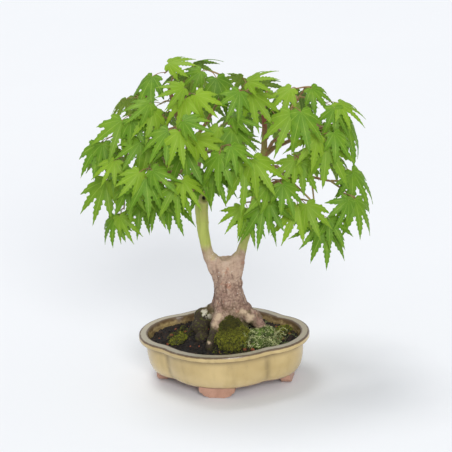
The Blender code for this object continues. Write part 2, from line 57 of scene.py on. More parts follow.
POT_HALF_LENGTH = (POT_HIGH.x - POT_LOW.x) / 2
POT_HALF_WIDTH = (POT_HIGH.y - POT_LOW.y) / 2
NOTCH_X, NOTCH_Y = 53.5 * MM, 44.5 * MM
ARC_STEPS = 52
FOOT_OUT_X, FOOT_OUT_Y = 63 * MM, 45.5 * MM
POT_UNDERSIDE, POT_WALL = 8.5 * MM, 13 * MM
DRAIN_X, DRAIN_RADIUS = 30 * MM, 8 * MM
# Rows of the pot's profile, from the middle of its underside to the middle of its floor:
# how far inside the lip's edge and how high (mm), rounds of softening at the notches, and
# how much of a worn edge it is.
POT_PROFILE = [
    (46, 8.5, 10, 0), (30, 8.5, 10, 0), (21.0, 8.6, 8, 0), (18.6, 9.0, 6, 0),
    (15.6, 10.2, 4, 0), (13.0, 12.0, 2, 0), (11.1, 14.6, 1, 0), (9.7, 17.6, 1, 0),
    (8.5, 21.5, 1, 0), (7.7, 26.0, 1, 0), (7.2, 31.0, 1, 0), (7.0, 36.0, 1, 0),
    (7.1, 40.0, 1, 0), (7.2, 42.6, 1, 0.5), (6.4, 43.8, 2, 0.2), (4.0, 44.1, 4, 0),
    (1.6, 44.2, 5, 0.5), (0.5, 44.7, 5, 0.9), (0.0, 45.6, 5, 0.3), (0.0, 47.0, 5, 0),
    (0.0, 48.3, 5, 0.35), (0.25, 49.2, 5, 0.95), (0.8, 49.8, 5, 1.0), (1.6, 50.0, 5, 0.85),
    (2.6, 50.0, 5, 0.25), (4.2, 49.9, 5, 0), (5.8, 49.9, 5, 0.1), (7.2, 50.0, 5, 0.55),
    (8.2, 49.9, 5, 1.0), (8.8, 49.4, 5, 1.0), (9.2, 48.4, 5, 0.95), (9.9, 46.0, 5, 0.7),
    (11.3, 42.0, 5, 0.5), (12.3, 35.0, 5, 0), (12.7, 26.5, 5, 0), (15.2, 17.0, 6, 0),
    (19.2, 14.2, 8, 0), (32, 14.0, 10, 0), (46, 14.0, 10, 0),
]


def arc_centre(reach, near, far):
    """Centre, on its axis, of the arc through (reach, 0) and (near, far)."""
    return (reach**2 - near**2 - far**2) / (2 * (reach - near))


END_CENTRE = arc_centre(POT_HALF_LENGTH, NOTCH_X, NOTCH_Y)
SIDE_CENTRE = arc_centre(POT_HALF_WIDTH, NOTCH_Y, NOTCH_X)


def lobed_ring(inset, height, rounds):
    """One ring of the pot's plan, `inset` inside the lip's edge, with softened notches."""
    end_radius = POT_HALF_LENGTH - END_CENTRE - inset
    side_radius = POT_HALF_WIDTH - SIDE_CENTRE - inset
    apart = Vector((-END_CENTRE, SIDE_CENTRE))
    along = (apart.length_squared + end_radius**2 - side_radius**2) / (2 * apart.length)
    aside = math.sqrt(max(end_radius**2 - along**2, 0))
    unit = apart.normalized()
    corner = Vector((END_CENTRE, 0)) + unit * along + Vector((unit.y, -unit.x)) * aside
    end_half = math.atan2(abs(corner.y), abs(corner.x) - END_CENTRE)
    side_half = math.atan2(abs(corner.x), abs(corner.y) - SIDE_CENTRE)
    arcs = [(END_CENTRE, end_radius, end_half), (SIDE_CENTRE, side_radius, side_half)] * 2
    ring = []
    for quarter, (centre, radius, half) in enumerate(arcs):
        angles = half * (2 * np.arange(ARC_STEPS) / ARC_STEPS - 1)
        ring.append((centre + radius * np.exp(1j * angles)) * 1j**quarter)
    ring = np.concatenate(ring)
    for _ in range(rounds):
        ring = (np.roll(ring, 1) + 2 * ring + np.roll(ring, -1)) / 4
    ring += complex(POT_MIDDLE.x, POT_MIDDLE.y)
    return [Vector((place.real, place.imag, height)) for place in ring]


def pick(thing):
    """Makes one object the only selected one, and the active one."""
    bpy.ops.object.select_all(action="DESELECT")
    thing.select_set(True)
    bpy.context.view_layer.objects.active = thing
    return thing


def raised_shell(name, rings):
    """A closed shell: a filled circle on the first ring, extruded from ring to ring."""
    bpy.ops.object.select_all(action="DESELECT")
    bpy.ops.mesh.primitive_circle_add(vertices=len(rings[0]), fill_type="NGON")
    shell = bpy.context.object
    shell.name = name
    shell.data.name = name
    row = list(range(len(rings[0])))
    for corner, point in zip(shell.data.vertices, rings[0]):
        corner.co = point
    bpy.ops.object.mode_set(mode="EDIT")
    bpy.ops.mesh.select_all(action="SELECT")
    for ring in rings[1:]:
        bpy.ops.mesh.extrude_region()
        shape = bmesh.from_edit_mesh(shell.data)
        shape.verts.index_update()
        shape.verts.ensure_lookup_table()
        following = []
        for index in row:
            corner = shape.verts[index]
            others = [edge.other_vert(corner) for edge in corner.link_edges]
            following.append(next(other.index for other in others if other.select))
        for index, point in zip(following, ring):
            shape.verts[index].co = point
        row = following
        bmesh.update_edit_mesh(shell.data)
    bpy.ops.mesh.select_all(action="SELECT")
    bpy.ops.mesh.normals_make_consistent(inside=False)
    bpy.ops.object.mode_set(mode="OBJECT")
    return shell


def apply_modifier(thing, kind, **settings):
    """Adds one modifier to an object, sets it and applies it."""
    pick(thing)
    modifier = thing.modifiers.new(kind.title(), kind)
    for key, value in settings.items():
        setattr(modifier, key, value)
    bpy.ops.object.modifier_apply(modifier=modifier.name)


def cut_or_join(target, tools, operation):
    """Applies an exact Boolean for each tool and then removes the tool."""
    for tool in tools:
        apply_modifier(target, "BOOLEAN", operation=operation, solver="EXACT", object=tool)
        bpy.data.objects.remove(tool, do_unlink=True)


def soften(thing, degrees=40):
    """Smooth shading, with edges sharper than this angle kept crisp."""
    pick(thing)
    bpy.ops.object.shade_smooth_by_angle(angle=math.radians(degrees))


def join_on(thing, other):
    """Makes two objects one, in the first one's name."""
    pick(thing)
    other.select_set(True)
    bpy.ops.object.join()


def set_values(thing, name, values):
    """Stores one number per point on the mesh, for its finish to read."""
    layer = thing.data.attributes.new(name, "FLOAT", "POINT")
    layer.data.foreach_set("value", np.asarray(values, np.float32))


def paint(red, green, blue):
    """A colour given as it looks on a colour card, 0 to 255, as the shader wants it."""
    steps = [part / 255 for part in (red, green, blue)]
    even = [part / 12.92 if part < 0.04 else ((part + 0.055) / 1.055) ** 2.4 for part in steps]
    return (*even, 1)


class Shade:
    """A shader socket that can be used in a sum."""

    def __init__(self, finish, socket):
        self.finish = finish
        self.socket = socket

    def maths(self, operation, first, second=0.0):
        return self.finish.node("ShaderNodeMath", {"operation": operation}, {0: first, 1: second})

    def __add__(self, other):
        return self.maths("ADD", self, other)

    __radd__ = __add__

    def __mul__(self, other):
        return self.maths("MULTIPLY", self, other)

    __rmul__ = __mul__

    def __sub__(self, other):
        return self.maths("SUBTRACT", self, other)

    def __rsub__(self, other):
        return self.maths("SUBTRACT", other, self)

    def __abs__(self):
        return self.maths("ABSOLUTE", self)

    def between(self, low, high, start=0.0, end=1.0):
        """Eased from `start` to `end` as the value goes from `low` to `high`."""
        settings = {"interpolation_type": "SMOOTHSTEP"}
        sockets = {0: self, 1: low, 2: high, 3: start, 4: end}
        return self.finish.node("ShaderNodeMapRange", settings, sockets)


class Finish:
    """A material whose pattern is written as sums of shades."""

    def __init__(self, name, **sockets):
        self.material = bpy.data.materials.new(name)
        self.material.use_nodes = True
        self.tree = self.material.node_tree
        self.shader = self.tree.nodes["Principled BSDF"]
        for socket, value in sockets.items():
            self.shader.inputs[socket.replace("_", " ")].default_value = value

    def node(self, kind, settings, sockets, output=0):
        made = self.tree.nodes.new(kind)
        for key, value in settings.items():
            setattr(made, key, value)
        for key, value in sockets.items():
            if isinstance(value, Shade):
                self.tree.links.new(value.socket, made.inputs[key])
            else:
                made.inputs[key].default_value = value
        return Shade(self, made.outputs[output])

    def place(self, stretch=(1, 1, 1), turn=0.0):
        """Object coordinates in metres, stretched or turned about Z."""
        coordinates = self.node("ShaderNodeTexCoord", {}, {}, "Object")
        sockets = {"Vector": coordinates, "Scale": stretch, "Rotation": (0, 0, turn)}
        return self.node("ShaderNodeMapping", {}, sockets)

    def axis(self, name):
        """One object coordinate, in metres."""
        return self.node("ShaderNodeSeparateXYZ", {}, {0: self.place()}, name)

    def cloud(self, scale, detail=3.0, roughness=0.55, where=None, warp=0.0):
        """Soft noise from 0 to 1, with `scale` features to the metre."""
        sockets = {"Vector": where or self.place(), "Scale": scale, "Detail": detail,
                   "Roughness": roughness, "Distortion": warp}
        return self.node("ShaderNodeTexNoise", {}, sockets)

    def cells(self, scale, where=None, feature="F1"):
        """Distance to the nearest of scattered points, `scale` of them to the metre."""
        sockets = {"Vector": where or self.place(), "Scale": scale}
        return self.node("ShaderNodeTexVoronoi", {"feature": feature}, sockets)

    def stored(self, name, output="Fac"):
        """A value or colour stored on the mesh."""
        return self.node("ShaderNodeAttribute", {"attribute_name": name}, {}, output)

    def mix(self, share, first, second):
        """Two colours mixed; a share of 1 gives the second."""
        settings = {"data_type": "RGBA", "clamp_factor": True}
        return self.node("ShaderNodeMix", settings, {0: share, 6: first, 7: second}, 2)

    def layered(self, colour, *coats):
        """A colour with coats over it, each given as its share and its own colour."""
        for share, coat in coats:
            colour = self.mix(share, colour, coat)
        return colour

    def bump(self, height, distance, strength=1.0, under=None):
        """Relief of this depth in metres, laid over the relief `under` it."""
        sockets = {"Height": height, "Distance": distance, "Strength": strength}
        if under:
            sockets["Normal"] = under
        return self.node("ShaderNodeBump", {}, sockets)

    def wear(self, **sockets):
        """Links finished shades to the shader's own sockets."""
        for socket, shade in sockets.items():
            self.tree.links.new(shade.socket, self.shader.inputs[socket.replace("_", " ")])
        return self.material


def cloud_foot(name, x, y, facing):
    """A cloud foot: a bracket with a rounded shoulder and a nick on each side of its sole."""
    half = [(18.0, 4.0), (18.0, -1.0), (17.7, -2.2), (16.9, -3.1), (15.7, -3.6), (15.0, -4.2),
            (14.4, -5.2), (13.4, -6.2), (12.0, -6.9), (10.6, -7.2), (9.4, -7.6), (8.4, -8.1),
            (7.4, -8.4), (6.6, -8.5)]
    outline = half + [(-across, up) for across, up in reversed(half)]
    turn = Matrix.Rotation(facing, 3, "Z")
    rings = []
    for out, shrink in ((-5.0, 0.6), (-4.6, 0.1), (4.4, 0.0), (4.9, 0.35), (5.1, 0.9)):
        ring = []
        for across, up in outline:
            narrower = across - math.copysign(shrink, across)
            higher = up + (shrink if up < -8.4 else 0)
            place = turn @ Vector((out * MM, narrower * MM, POT_UNDERSIDE + higher * MM))
            ring.append(place + Vector((POT_MIDDLE.x + x, POT_MIDDLE.y + y, 0)))
        rings.append(ring)
    return raised_shell(name, rings)


pot_rings = [lobed_ring(row[0] * MM, row[1] * MM, row[2]) for row in POT_PROFILE]
pot_piece = raised_shell("glazed_pot", pot_rings)
ring_count = len(pot_rings[0])
set_values(pot_piece, "worn_edge", [row[3] for row in POT_PROFILE for _ in range(ring_count)])
from_notch = np.abs((np.arange(ring_count) + ARC_STEPS / 2) % ARC_STEPS - ARC_STEPS / 2)
set_values(pot_piece, "notch", np.tile(np.exp(-((from_notch / 1.4) ** 2)), len(POT_PROFILE)))
feet = [
    cloud_foot("foot_right", FOOT_OUT_X, 0, 0),
    cloud_foot("foot_back", 0, FOOT_OUT_Y, math.pi / 2),
    cloud_foot("foot_left", -FOOT_OUT_X, 0, math.pi),
    cloud_foot("foot_front", 0, -FOOT_OUT_Y, -math.pi / 2),
]
cut_or_join(pot_piece, feet, "UNION")
drains = []
for side in (-1, 1):
    bpy.ops.object.select_all(action="DESELECT")
    bpy.ops.mesh.primitive_cylinder_add(
        vertices=64, radius=DRAIN_RADIUS, depth=40 * MM,
        location=(POT_MIDDLE.x + side * DRAIN_X, POT_MIDDLE.y, 8 * MM),
    )
    drains.append(bpy.context.object)
cut_or_join(pot_piece, drains, "DIFFERENCE")
soften(pot_piece, 32)

glaze = Finish("celadon_glaze", Coat_Weight=0.35, Coat_Roughness=0.12, IOR=1.52)
height = glaze.axis("Z")
drift = glaze.cloud(22, 3)
fine_drift = glaze.cloud(140, 3)
streak = glaze.cloud(60, 3, where=glaze.place((1, 1, 0.25)))
low = height.between(0.030, 0.013)
# Painted shade: a darker band on the wall just under the lip's overhang.
painted_shade_under_lip = height.between(0.036, 0.0435) * height.between(0.0452, 0.0440)
# Painted shade: the wall is darkened along the creases at the lobes' notches.
painted_groove_shade = glaze.stored("notch") * height.between(0.0448, 0.0438) * height.between(0.012, 0.017)
on_lip = height.between(0.0486, 0.0497)
worn = glaze.stored("worn_edge")
break_up = worn + (fine_drift - 0.5) * 1.1 * worn.between(0.05, 0.5)
specks = glaze.cells(420).between(0.16, 0.05) * glaze.cloud(90, 1).between(0.52, 0.6)
wavy_height = height + (glaze.cloud(55, 2) - 0.5) * 0.0035
glaze_stop = wavy_height.between(0.0118, 0.0110)
stop_line = wavy_height.between(0.0108, 0.0116) * wavy_height.between(0.0128, 0.0119)
clay = glaze.layered(
    paint(192, 148, 126),
    (glaze.cloud(70, 4).between(0.35, 0.7), paint(170, 128, 106)),
    (glaze.cells(900).between(0.25, 0.1) * 0.5, paint(134, 100, 84)),
)
body = glaze.layered(
    paint(204, 180, 126),
    (drift.between(0.35, 0.68), paint(186, 162, 108)),
    (streak.between(0.5, 0.75, 0, 0.45), paint(160, 140, 92)),
    (low * fine_drift.between(0.3, 0.7, 0.3, 0.8), paint(212, 190, 142)),
    # painted shade under the lip
    (painted_shade_under_lip * 0.6, paint(136, 116, 74)),
    # painted shade in the grooves
    (painted_groove_shade * fine_drift.between(0.25, 0.6, 0.25, 0.6), paint(122, 104, 66)),
    (on_lip * drift.between(0.3, 0.7, 0.8, 1.0), paint(176, 168, 148)),
    (break_up.between(0.35, 0.95) * 0.9, paint(92, 70, 50)),
    (specks * 0.75, paint(96, 74, 50)),
    (glaze_stop, clay),
    (stop_line * 0.7, paint(120, 88, 62)),
)
gloss = glaze_stop.between(0, 1, 0.2, 0.85) + fine_drift * 0.08 + specks * 0.15
relief = glaze.bump(glaze.cloud(260, 2), 0.0003, 0.35)
relief = glaze.bump(glaze.cloud(2400, 3) * glaze_stop, 0.0002, 0.8, under=relief)
relief = glaze.bump(specks, 0.0002, 0.4, under=relief)
glaze.wear(Base_Color=body, Roughness=gloss, Normal=relief)
pot_piece.data.materials.clear()
pot_piece.data.materials.append(glaze.material)
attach(pot_piece, "root")
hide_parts("pot")


# ---------------------------------------------------------------- Drain mesh
# A square of soft green plastic net over each drain hole keeps the soil in. It is moulded
# flat, with rounded open cells, and lies on the pot's floor.
NET_CELLS = 9
NET_THREAD = 0.85 * MM

net_green = Finish("green_plastic_net", IOR=1.46)
net_tone = net_green.cloud(300, 3)
net_colour = net_green.mix(net_tone, paint(38, 84, 44), paint(58, 104, 60))
net_relief = net_green.bump(net_green.cloud(2500, 2), 0.0001, 0.5)
net_green.wear(Base_Color=net_colour, Roughness=net_tone * 0.2 + 0.4, Normal=net_relief)

for label in ("left", "right"):
    low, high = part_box(f"drain_mesh_{label}")
    bpy.ops.object.select_all(action="DESELECT")
    bpy.ops.mesh.primitive_grid_add(
        x_subdivisions=NET_CELLS, y_subdivisions=NET_CELLS, size=high.x - low.x,
        location=((low.x + high.x) / 2, (low.y + high.y) / 2, low.z),
    )
    net = bpy.context.object
    net.name = f"net_{label}"
    bpy.ops.object.transform_apply(location=True, rotation=True, scale=True)
    bpy.ops.object.mode_set(mode="EDIT")
    bpy.ops.mesh.select_all(action="SELECT")
    bpy.ops.mesh.inset(thickness=NET_THREAD / 2, use_individual=True)
    bpy.ops.mesh.delete(type="FACE")
    bpy.ops.object.mode_set(mode="OBJECT")
    apply_modifier(net, "SOLIDIFY", thickness=high.z - low.z, offset=1.0, use_even_offset=True)
    apply_modifier(net, "BEVEL", width=0.18 * MM, segments=2, limit_method="ANGLE")
    soften(net)
    net.data.materials.append(net_green.material)
    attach(net, "root")
    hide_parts(f"drain_mesh_{label}")


# ---------------------------------------------------------------- Mesh clips
# Each net is pinned by a staple of brown anodised aluminium wire. Its legs go through the
# net and the hole and are bent outwards flat under the pot.
LEG_OUT, BEND = 4.5 * MM, 1.2 * MM


def bent_tube(path, sides):
    """Points and faces of a tube along (point, radius) pairs, closed at both ends."""
    centres = [Vector(point) for point, _ in path]
    across = None
    points = []
    for index, (_, radius) in enumerate(path):
        before = centres[max(index - 1, 0)]
        after = centres[min(index + 1, len(centres) - 1)]
        along = (after - before).normalized()
        if across is None:
            across = along.orthogonal().normalized()
        across = (across - along * across.dot(along)).normalized()
        other = along.cross(across)
        for step in range(sides):
            angle = 2 * math.pi * step / sides
            out = across * math.cos(angle) + other * math.sin(angle)
            points.append(centres[index] + out * radius)
    faces = [list(range(sides))[::-1]]
    for level in range(len(path) - 1):
        for step in range(sides):
            low = level * sides + step
            following = level * sides + (step + 1) % sides
            faces.append([low, following, following + sides, low + sides])
    faces.append(list(range(len(points) - sides, len(points))))
    return points, faces


def eased(path, rounds=2):
    """A finer path of the same ends, its corners cut off a quarter at a time."""
    for _ in range(rounds):
        finer = [path[0]]
        for (start, first), (end, last) in zip(path, path[1:]):
            start, end = Vector(start), Vector(end)
            for share in (0.25, 0.75):
                finer.append((start.lerp(end, share), first + (last - first) * share))
        path = finer + [path[-1]]
    return path


def mesh_piece(name, parts, *finishes):
    """One object from several (points, faces) pairs."""
    points = []
    faces = []
    for some_points, some_faces in parts:
        start = len(points)
        points += [tuple(point) for point in some_points]
        faces += [[start + corner for corner in face] for face in some_faces]
    mesh = bpy.data.meshes.new(name)
    mesh.from_pydata(points, [], faces)
    made = bpy.data.objects.new(name, mesh)
    bpy.context.scene.collection.objects.link(made)
    for finish in finishes:
        mesh.materials.append(finish.material)
    return made


wire_brown = Finish("anodised_wire", Metallic=1.0)
wire_tone = wire_brown.cloud(500, 3)
wire_colour = wire_brown.mix(wire_tone, paint(150, 104, 72), paint(186, 140, 104))
wire_brown.wear(Base_Color=wire_colour, Roughness=wire_tone * 0.25 + 0.25)

for label in ("left", "right"):
    low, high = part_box(f"mesh_clip_{label}")
    middle = (low + high) / 2
    radius = (high.y - low.y) / 2
    reach = (high.x - low.x) / 2 - radius * 0.2
    bottom, top = low.z + radius, high.z - radius
    half_route = [(reach, bottom), (LEG_OUT + BEND, bottom), (LEG_OUT, bottom + BEND),
                  (LEG_OUT, top - BEND), (LEG_OUT - BEND, top)]
    route = [(-x, z) for x, z in half_route] + half_route[::-1]
    staple_path = [((middle.x + x, middle.y, z), radius) for x, z in route]
    staple = mesh_piece(f"staple_{label}", [bent_tube(eased(staple_path), 12)], wire_brown)
    soften(staple)
    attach(staple, "root")
    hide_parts(f"mesh_clip_{label}")


# ---------------------------------------------------------------- Soil
# Dark bonsai soil fills the pot to below the lip and is mounded up under the trunk. It is
# a crumbly mix: fine dark compost with hard grains of fired clay, some of them red-brown.
SOIL_LEVEL = 43 * MM
MOUND_HEIGHT, MOUND_RADIUS = 25 * MM, 31 * MM
TREE_TURN = math.radians(12)
SOIL_GRID = 1.1 * MM
GRAINS = 2600
FIRED_SHARE = 0.03
WALL_AND_GRAIN = 13.2 * MM
GRAIN_SIZES = (1.1, 1.4, 1.8, 2.4, 3.2)
GOLDEN = (1 + math.sqrt(5)) / 2
ROCK_CORNERS = []
for first in (-1, 1):
    for second in (-GOLDEN, GOLDEN):
        ROCK_CORNERS += [(0, first, second), (first, second, 0), (second, 0, first)]


def in_tree(x, y, z):
    """A point given in millimetres as seen from the tree's own front, in metres."""
    turned = Matrix.Rotation(TREE_TURN, 3, "Z") @ Vector((x, y, z)) * MM
    return turned + Vector((POT_MIDDLE.x, POT_MIDDLE.y, 0))


def from_front(points):
    """Points given in metres, in millimetres as seen from the tree's own front."""
    turn = np.array(Matrix.Rotation(TREE_TURN, 3, "Z"))
    return (points - np.array((POT_MIDDLE.x, POT_MIDDLE.y, 0))) @ turn / MM


def soil_height(x, y):
    """Height of the soil: level in the dish, with a mound under the tree."""
    middle = in_tree(4, -2, 0)
    away = math.hypot(x - middle.x, y - middle.y)
    return SOIL_LEVEL + MOUND_HEIGHT * math.exp(-((away / MOUND_RADIUS) ** 2))


def merged_copy(node, name):
    """A copy of a CAD node's mesh with its loose triangles joined."""
    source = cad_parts[node]
    mesh = source.data.copy()
    mesh.name = name
    mesh.materials.clear()
    made = bpy.data.objects.new(name, mesh)
    bpy.context.scene.collection.objects.link(made)
    pick(made)
    bpy.ops.object.mode_set(mode="EDIT")
    bpy.ops.mesh.select_all(action="SELECT")
    bpy.ops.mesh.remove_doubles(threshold=1e-6)
    bpy.ops.object.mode_set(mode="OBJECT")
    return made


def points_of(thing):
    """The mesh's points as an array."""
    found = np.empty(len(thing.data.vertices) * 3)
    thing.data.vertices.foreach_get("co", found)
    return found.reshape(-1, 3)


def move_points(thing, points):
    """Puts the mesh's points where the array says."""
    thing.data.vertices.foreach_set("co", np.asarray(points).ravel())
    thing.data.update()


def normals_of(thing):
    """The mesh's point normals as an array."""
    found = np.empty(len(thing.data.vertices) * 3, np.float32)
    thing.data.vertex_normals.foreach_get("vector", found)
    return found.reshape(-1, 3)


def lumps(points, size, stretch=1.0, seed=0.0):
    """Noise from -1 to 1 at each point, with lumps of this size in metres."""
    offset = Vector((seed, seed * 0.7, -seed))
    scale = Vector((1 / size, 1 / size, 1 / (size * stretch)))
    return np.array([noise.noise(Vector(point) * scale + offset) for point in points])


def rock_points(centre, size, dice):
    """Corners of a small angular grain: a twenty-sided solid, squashed and jogged."""
    angle = dice.uniform(0, 6.28)
    turn = Matrix.Rotation(angle, 3, Vector([dice.gauss(0, 1) for _ in range(3)]))
    squash = [dice.uniform(0.75, 1.2) for _ in range(3)]
    points = []
    for corner in ROCK_CORNERS:
        jogged = [part * share * dice.uniform(0.82, 1.12) for part, share in zip(corner, squash)]
        points.append(centre + turn @ Vector(jogged) * size / 3.8)
    return points


def rock_faces():
    """The twenty faces: each joins three corners that are all next to each other, 2 apart."""
    faces = []
    for trio in itertools.combinations(range(len(ROCK_CORNERS)), 3):
        first, second, third = [Vector(ROCK_CORNERS[corner]) for corner in trio]
        if max((first - second).length, (second - third).length, (first - third).length) < 2.1:
            out = (second - first).cross(third - first)
            faces.append(list(trio) if out.dot(first) > 0 else [trio[0], trio[2], trio[1]])
    return faces


ROCK_FACES = rock_faces()
soil_bed = merged_copy("soil", "soil_bed")
apply_modifier(soil_bed, "REMESH", mode="VOXEL", voxel_size=SOIL_GRID, adaptivity=0.0)
bed = points_of(soil_bed)
bed_normals = normals_of(soil_bed)
rough = lumps(bed, 5 * MM) * 1.3 + lumps(bed, 2.4 * MM, seed=7) * 0.8
on_top = np.clip((bed[:, 2] - 39 * MM) / (2 * MM), 0, 1)
move_points(soil_bed, bed + bed_normals * (rough * on_top * MM)[:, None])
set_values(soil_bed, "grain_tone", np.zeros(len(bed)))
dice = random.Random(4)
grain_parts = []
grain_tones = []
while len(grain_parts) < GRAINS:
    x = POT_MIDDLE.x + dice.uniform(-1, 1) * (POT_HALF_LENGTH - POT_WALL)
    y = POT_MIDDLE.y + dice.uniform(-1, 1) * (POT_HALF_WIDTH - POT_WALL)
    across, deep = abs(x - POT_MIDDLE.x), abs(y - POT_MIDDLE.y)
    end_radius = POT_HALF_LENGTH - END_CENTRE - WALL_AND_GRAIN
    side_radius = POT_HALF_WIDTH - SIDE_CENTRE - WALL_AND_GRAIN
    in_end = math.hypot(across - END_CENTRE, deep) < end_radius
    in_side = math.hypot(across, deep - SIDE_CENTRE) < side_radius
    if not (in_end or in_side):
        continue
    fired = dice.random() < FIRED_SHARE
    size = dice.choice(GRAIN_SIZES) * MM * (1.5 if fired else 1)
    place = Vector((x, y, soil_height(x, y) + size * 0.12))
    grain_parts.append((rock_points(place, size, dice), ROCK_FACES))
    grain_tones += [1.0 if fired else dice.uniform(0.0, 0.6)] * len(ROCK_CORNERS)
earth = Finish("bonsai_soil")
soil_tone = earth.stored("grain_tone")
soil_speckle = earth.cloud(900, 3)
soil_colour = earth.layered(
    paint(13, 9, 7),
    (soil_speckle.between(0.35, 0.7), paint(30, 22, 17)),
    (soil_tone.between(0.2, 0.62), paint(58, 43, 33)),
    (soil_tone.between(0.85, 0.95), paint(140, 76, 50)),
)
soil_relief = earth.bump(earth.cloud(1500, 4), 0.0006, 0.8)
earth.wear(Base_Color=soil_colour, Roughness=soil_speckle * 0.2 + 0.78, Normal=soil_relief)
grains = mesh_piece("grains", grain_parts, earth)
set_values(grains, "grain_tone", grain_tones)
pick(soil_bed)
bpy.ops.object.shade_smooth()
soil_bed.data.materials.append(earth.material)
join_on(soil_bed, grains)
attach(soil_bed, "root")
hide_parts("soil")


# ---------------------------------------------------------------- Trunk and branches
# The living wood grew as one piece: surface roots, a short stout trunk and two boughs.
# Old bark is buff to purplish brown, wrinkled and specked with lichen; the boughs are still
# green. A pruned limb has healed to a callus, and the right bough ends in a brown stub.
KNOT = in_tree(-9.5, -6.2, 193)
STUB = in_tree(52.5, 0, 270)
# The dip between the boughs in millimetres from the tree's front, and the old pruning rings.
FORK_X, SADDLE_HEIGHT = 6.5, 127.0
RING_HEIGHTS = (166, 217, 238)
BARK_GRID = 0.78 * MM


def ease(values, low, high):
    """Values eased to 0 at `low` and to 1 at `high`."""
    share = np.clip((values - low) / (high - low), 0, 1)
    return share * share * (3 - 2 * share)


def smoothed(thing, weights, rounds):
    """Evens the mesh out, each point as much as its weight says."""
    edges = np.empty(len(thing.data.edges) * 2, np.int64)
    thing.data.edges.foreach_get("vertices", edges)
    first, second = edges.reshape(-1, 2).T
    points = points_of(thing)
    count = np.bincount(np.concatenate([first, second]), minlength=len(points))[:, None]
    for step in range(rounds):
        total = np.zeros_like(points)
        np.add.at(total, first, points[second])
        np.add.at(total, second, points[first])
        pull = 0.55 if step % 2 == 0 else -0.50
        points += (total / count - points) * pull * weights[:, None]
    move_points(thing, points)


def surface_tree(thing):
    """The mesh's faces, ready for finding where a line meets them or which is nearest."""
    corners = [vertex.co for vertex in thing.data.vertices]
    return BVHTree.FromPolygons(corners, [list(face.vertices) for face in thing.data.polygons])


def add_lumps(thing, rows):
    """Joins ovals to a mesh; each row is a middle and half sizes, in mm from the tree's front."""
    for x, y, z, *half in rows:
        bpy.ops.object.select_all(action="DESELECT")
        bpy.ops.mesh.primitive_uv_sphere_add(segments=24, ring_count=16, radius=MM)
        lump = bpy.context.object
        lump.scale = half
        lump.rotation_euler = (0, 0, TREE_TURN)
        lump.location = in_tree(x, y, z)
        bpy.ops.object.transform_apply(location=True, rotation=True, scale=True)
        join_on(thing, lump)


# Swellings that the limbs' plain taper lacks: the web in the fork, the knobbly old root on
# the left and the heels of the roots.
SWELLINGS = [
    (1, 0, 118, 8, 9, 9), (6.5, 0, 116, 13, 9.5, 10.5), (13, 0, 118, 8, 9, 9),
    (-5, 0, 127, 6, 6.5, 7), (18, 0, 127, 6, 6, 7), (18, -2, 101, 4.5, 5, 6),
    (-17, -3, 69, 11, 9, 9), (-22, -9, 60, 9, 8, 9), (-21, -17, 51, 8, 7, 7),
    (12, 2, 70, 19, 14, 12), (3, -14, 66, 9, 8, 12), (30, 8, 58, 10, 9, 9),
    (19, -10, 75, 9, 8, 7), (23, -13, 72, 8, 7, 6), (27, -16, 69, 6.5, 6, 5.5),
]
# A root creeps down the front on the left, thinner and thinner.
ROOT_TOP = np.array((-3, -12, 74, 5.5, 6, 7))
ROOT_END = np.array((-15, -36, 49, 4, 4.5, 5))
SWELLINGS += [ROOT_TOP + (ROOT_END - ROOT_TOP) * way for way in np.linspace(0, 1, 10)]
# Where bark has peeled and left a root pale: the place from the tree's front, and how wide (mm).
PEELED = [
    (-5, -19, 73, 6), (-8, -24, 67, 4.5), (-15, -36, 54, 2.5), (27, -20, 71, 6.5), (20, -17, 76, 5),
]
wood = merged_copy("trunk_and_branches", "wood")
add_lumps(wood, SWELLINGS)
apply_modifier(wood, "REMESH", mode="VOXEL", voxel_size=BARK_GRID, adaptivity=0.0)
wood_points = points_of(wood)
x, y, z = from_front(wood_points).T
saddle = SADDLE_HEIGHT + 0.06 * (x - FORK_X) ** 2
in_fork = (np.abs(x - FORK_X) < 15) & (np.abs(y) < 14) & (z > saddle) & (z < 136)
wood_points[in_fork, 2] = saddle[in_fork] * MM
move_points(wood, wood_points)
wood_points = points_of(wood)
bark_tree = surface_tree(wood)
wood_normals = normals_of(wood)
thick = np.empty(len(wood_points))
for index, (point, normal) in enumerate(zip(wood_points, wood_normals)):
    inward = -Vector(normal)
    hit = bark_tree.ray_cast(Vector(point) + inward * 0.5 * MM, inward, 0.06)
    thick[index] = hit[3] if hit[3] else 0.06
smoothed(wood, np.clip(ease(thick, 4 * MM, 16 * MM) + 0.12, 0, 1), 60)
smoothed(wood, np.full(len(wood_points), 0.6), 6)
wood_points = points_of(wood)
wood_normals = normals_of(wood)
height = wood_points[:, 2]
bark = 1 - ease(height + lumps(wood_points, 9 * MM) * 7 * MM, 132 * MM, 150 * MM)
base = 1 - ease(height, 62 * MM, 96 * MM)
stout = ease(thick, 5 * MM, 14 * MM)
around_base = lumps(wood_points, 6 * MM, 4.0, 3)
wrinkle = lumps(wood_points, 3.4 * MM, 0.4, 5)
crumb = lumps(wood_points, 1.9 * MM, 0.7, 12)
relief = bark * stout * (
    lumps(wood_points, 11 * MM) * 0.8 + lumps(wood_points, 5 * MM, 1.0, 31) * 0.45
    + around_base * 1.3 * base + wrinkle * 0.30 + crumb * 0.28
)
relief += (1 - bark) * lumps(wood_points, 12 * MM, 1.0, 20) * 0.35 * stout
knot_away = np.linalg.norm(wood_points - np.array(KNOT), axis=1) / MM
relief += 1.5 * np.exp(-(((knot_away - 4.6) / 1.4) ** 2)) - 3.2 * np.exp(-((knot_away / 2.5) ** 2))
for ring_height in RING_HEIGHTS:
    relief += 0.35 * np.exp(-(((height / MM - ring_height) / 1.2) ** 2)) * (thick > 6 * MM)
move_points(wood, wood_points + wood_normals * (relief * MM)[:, None])
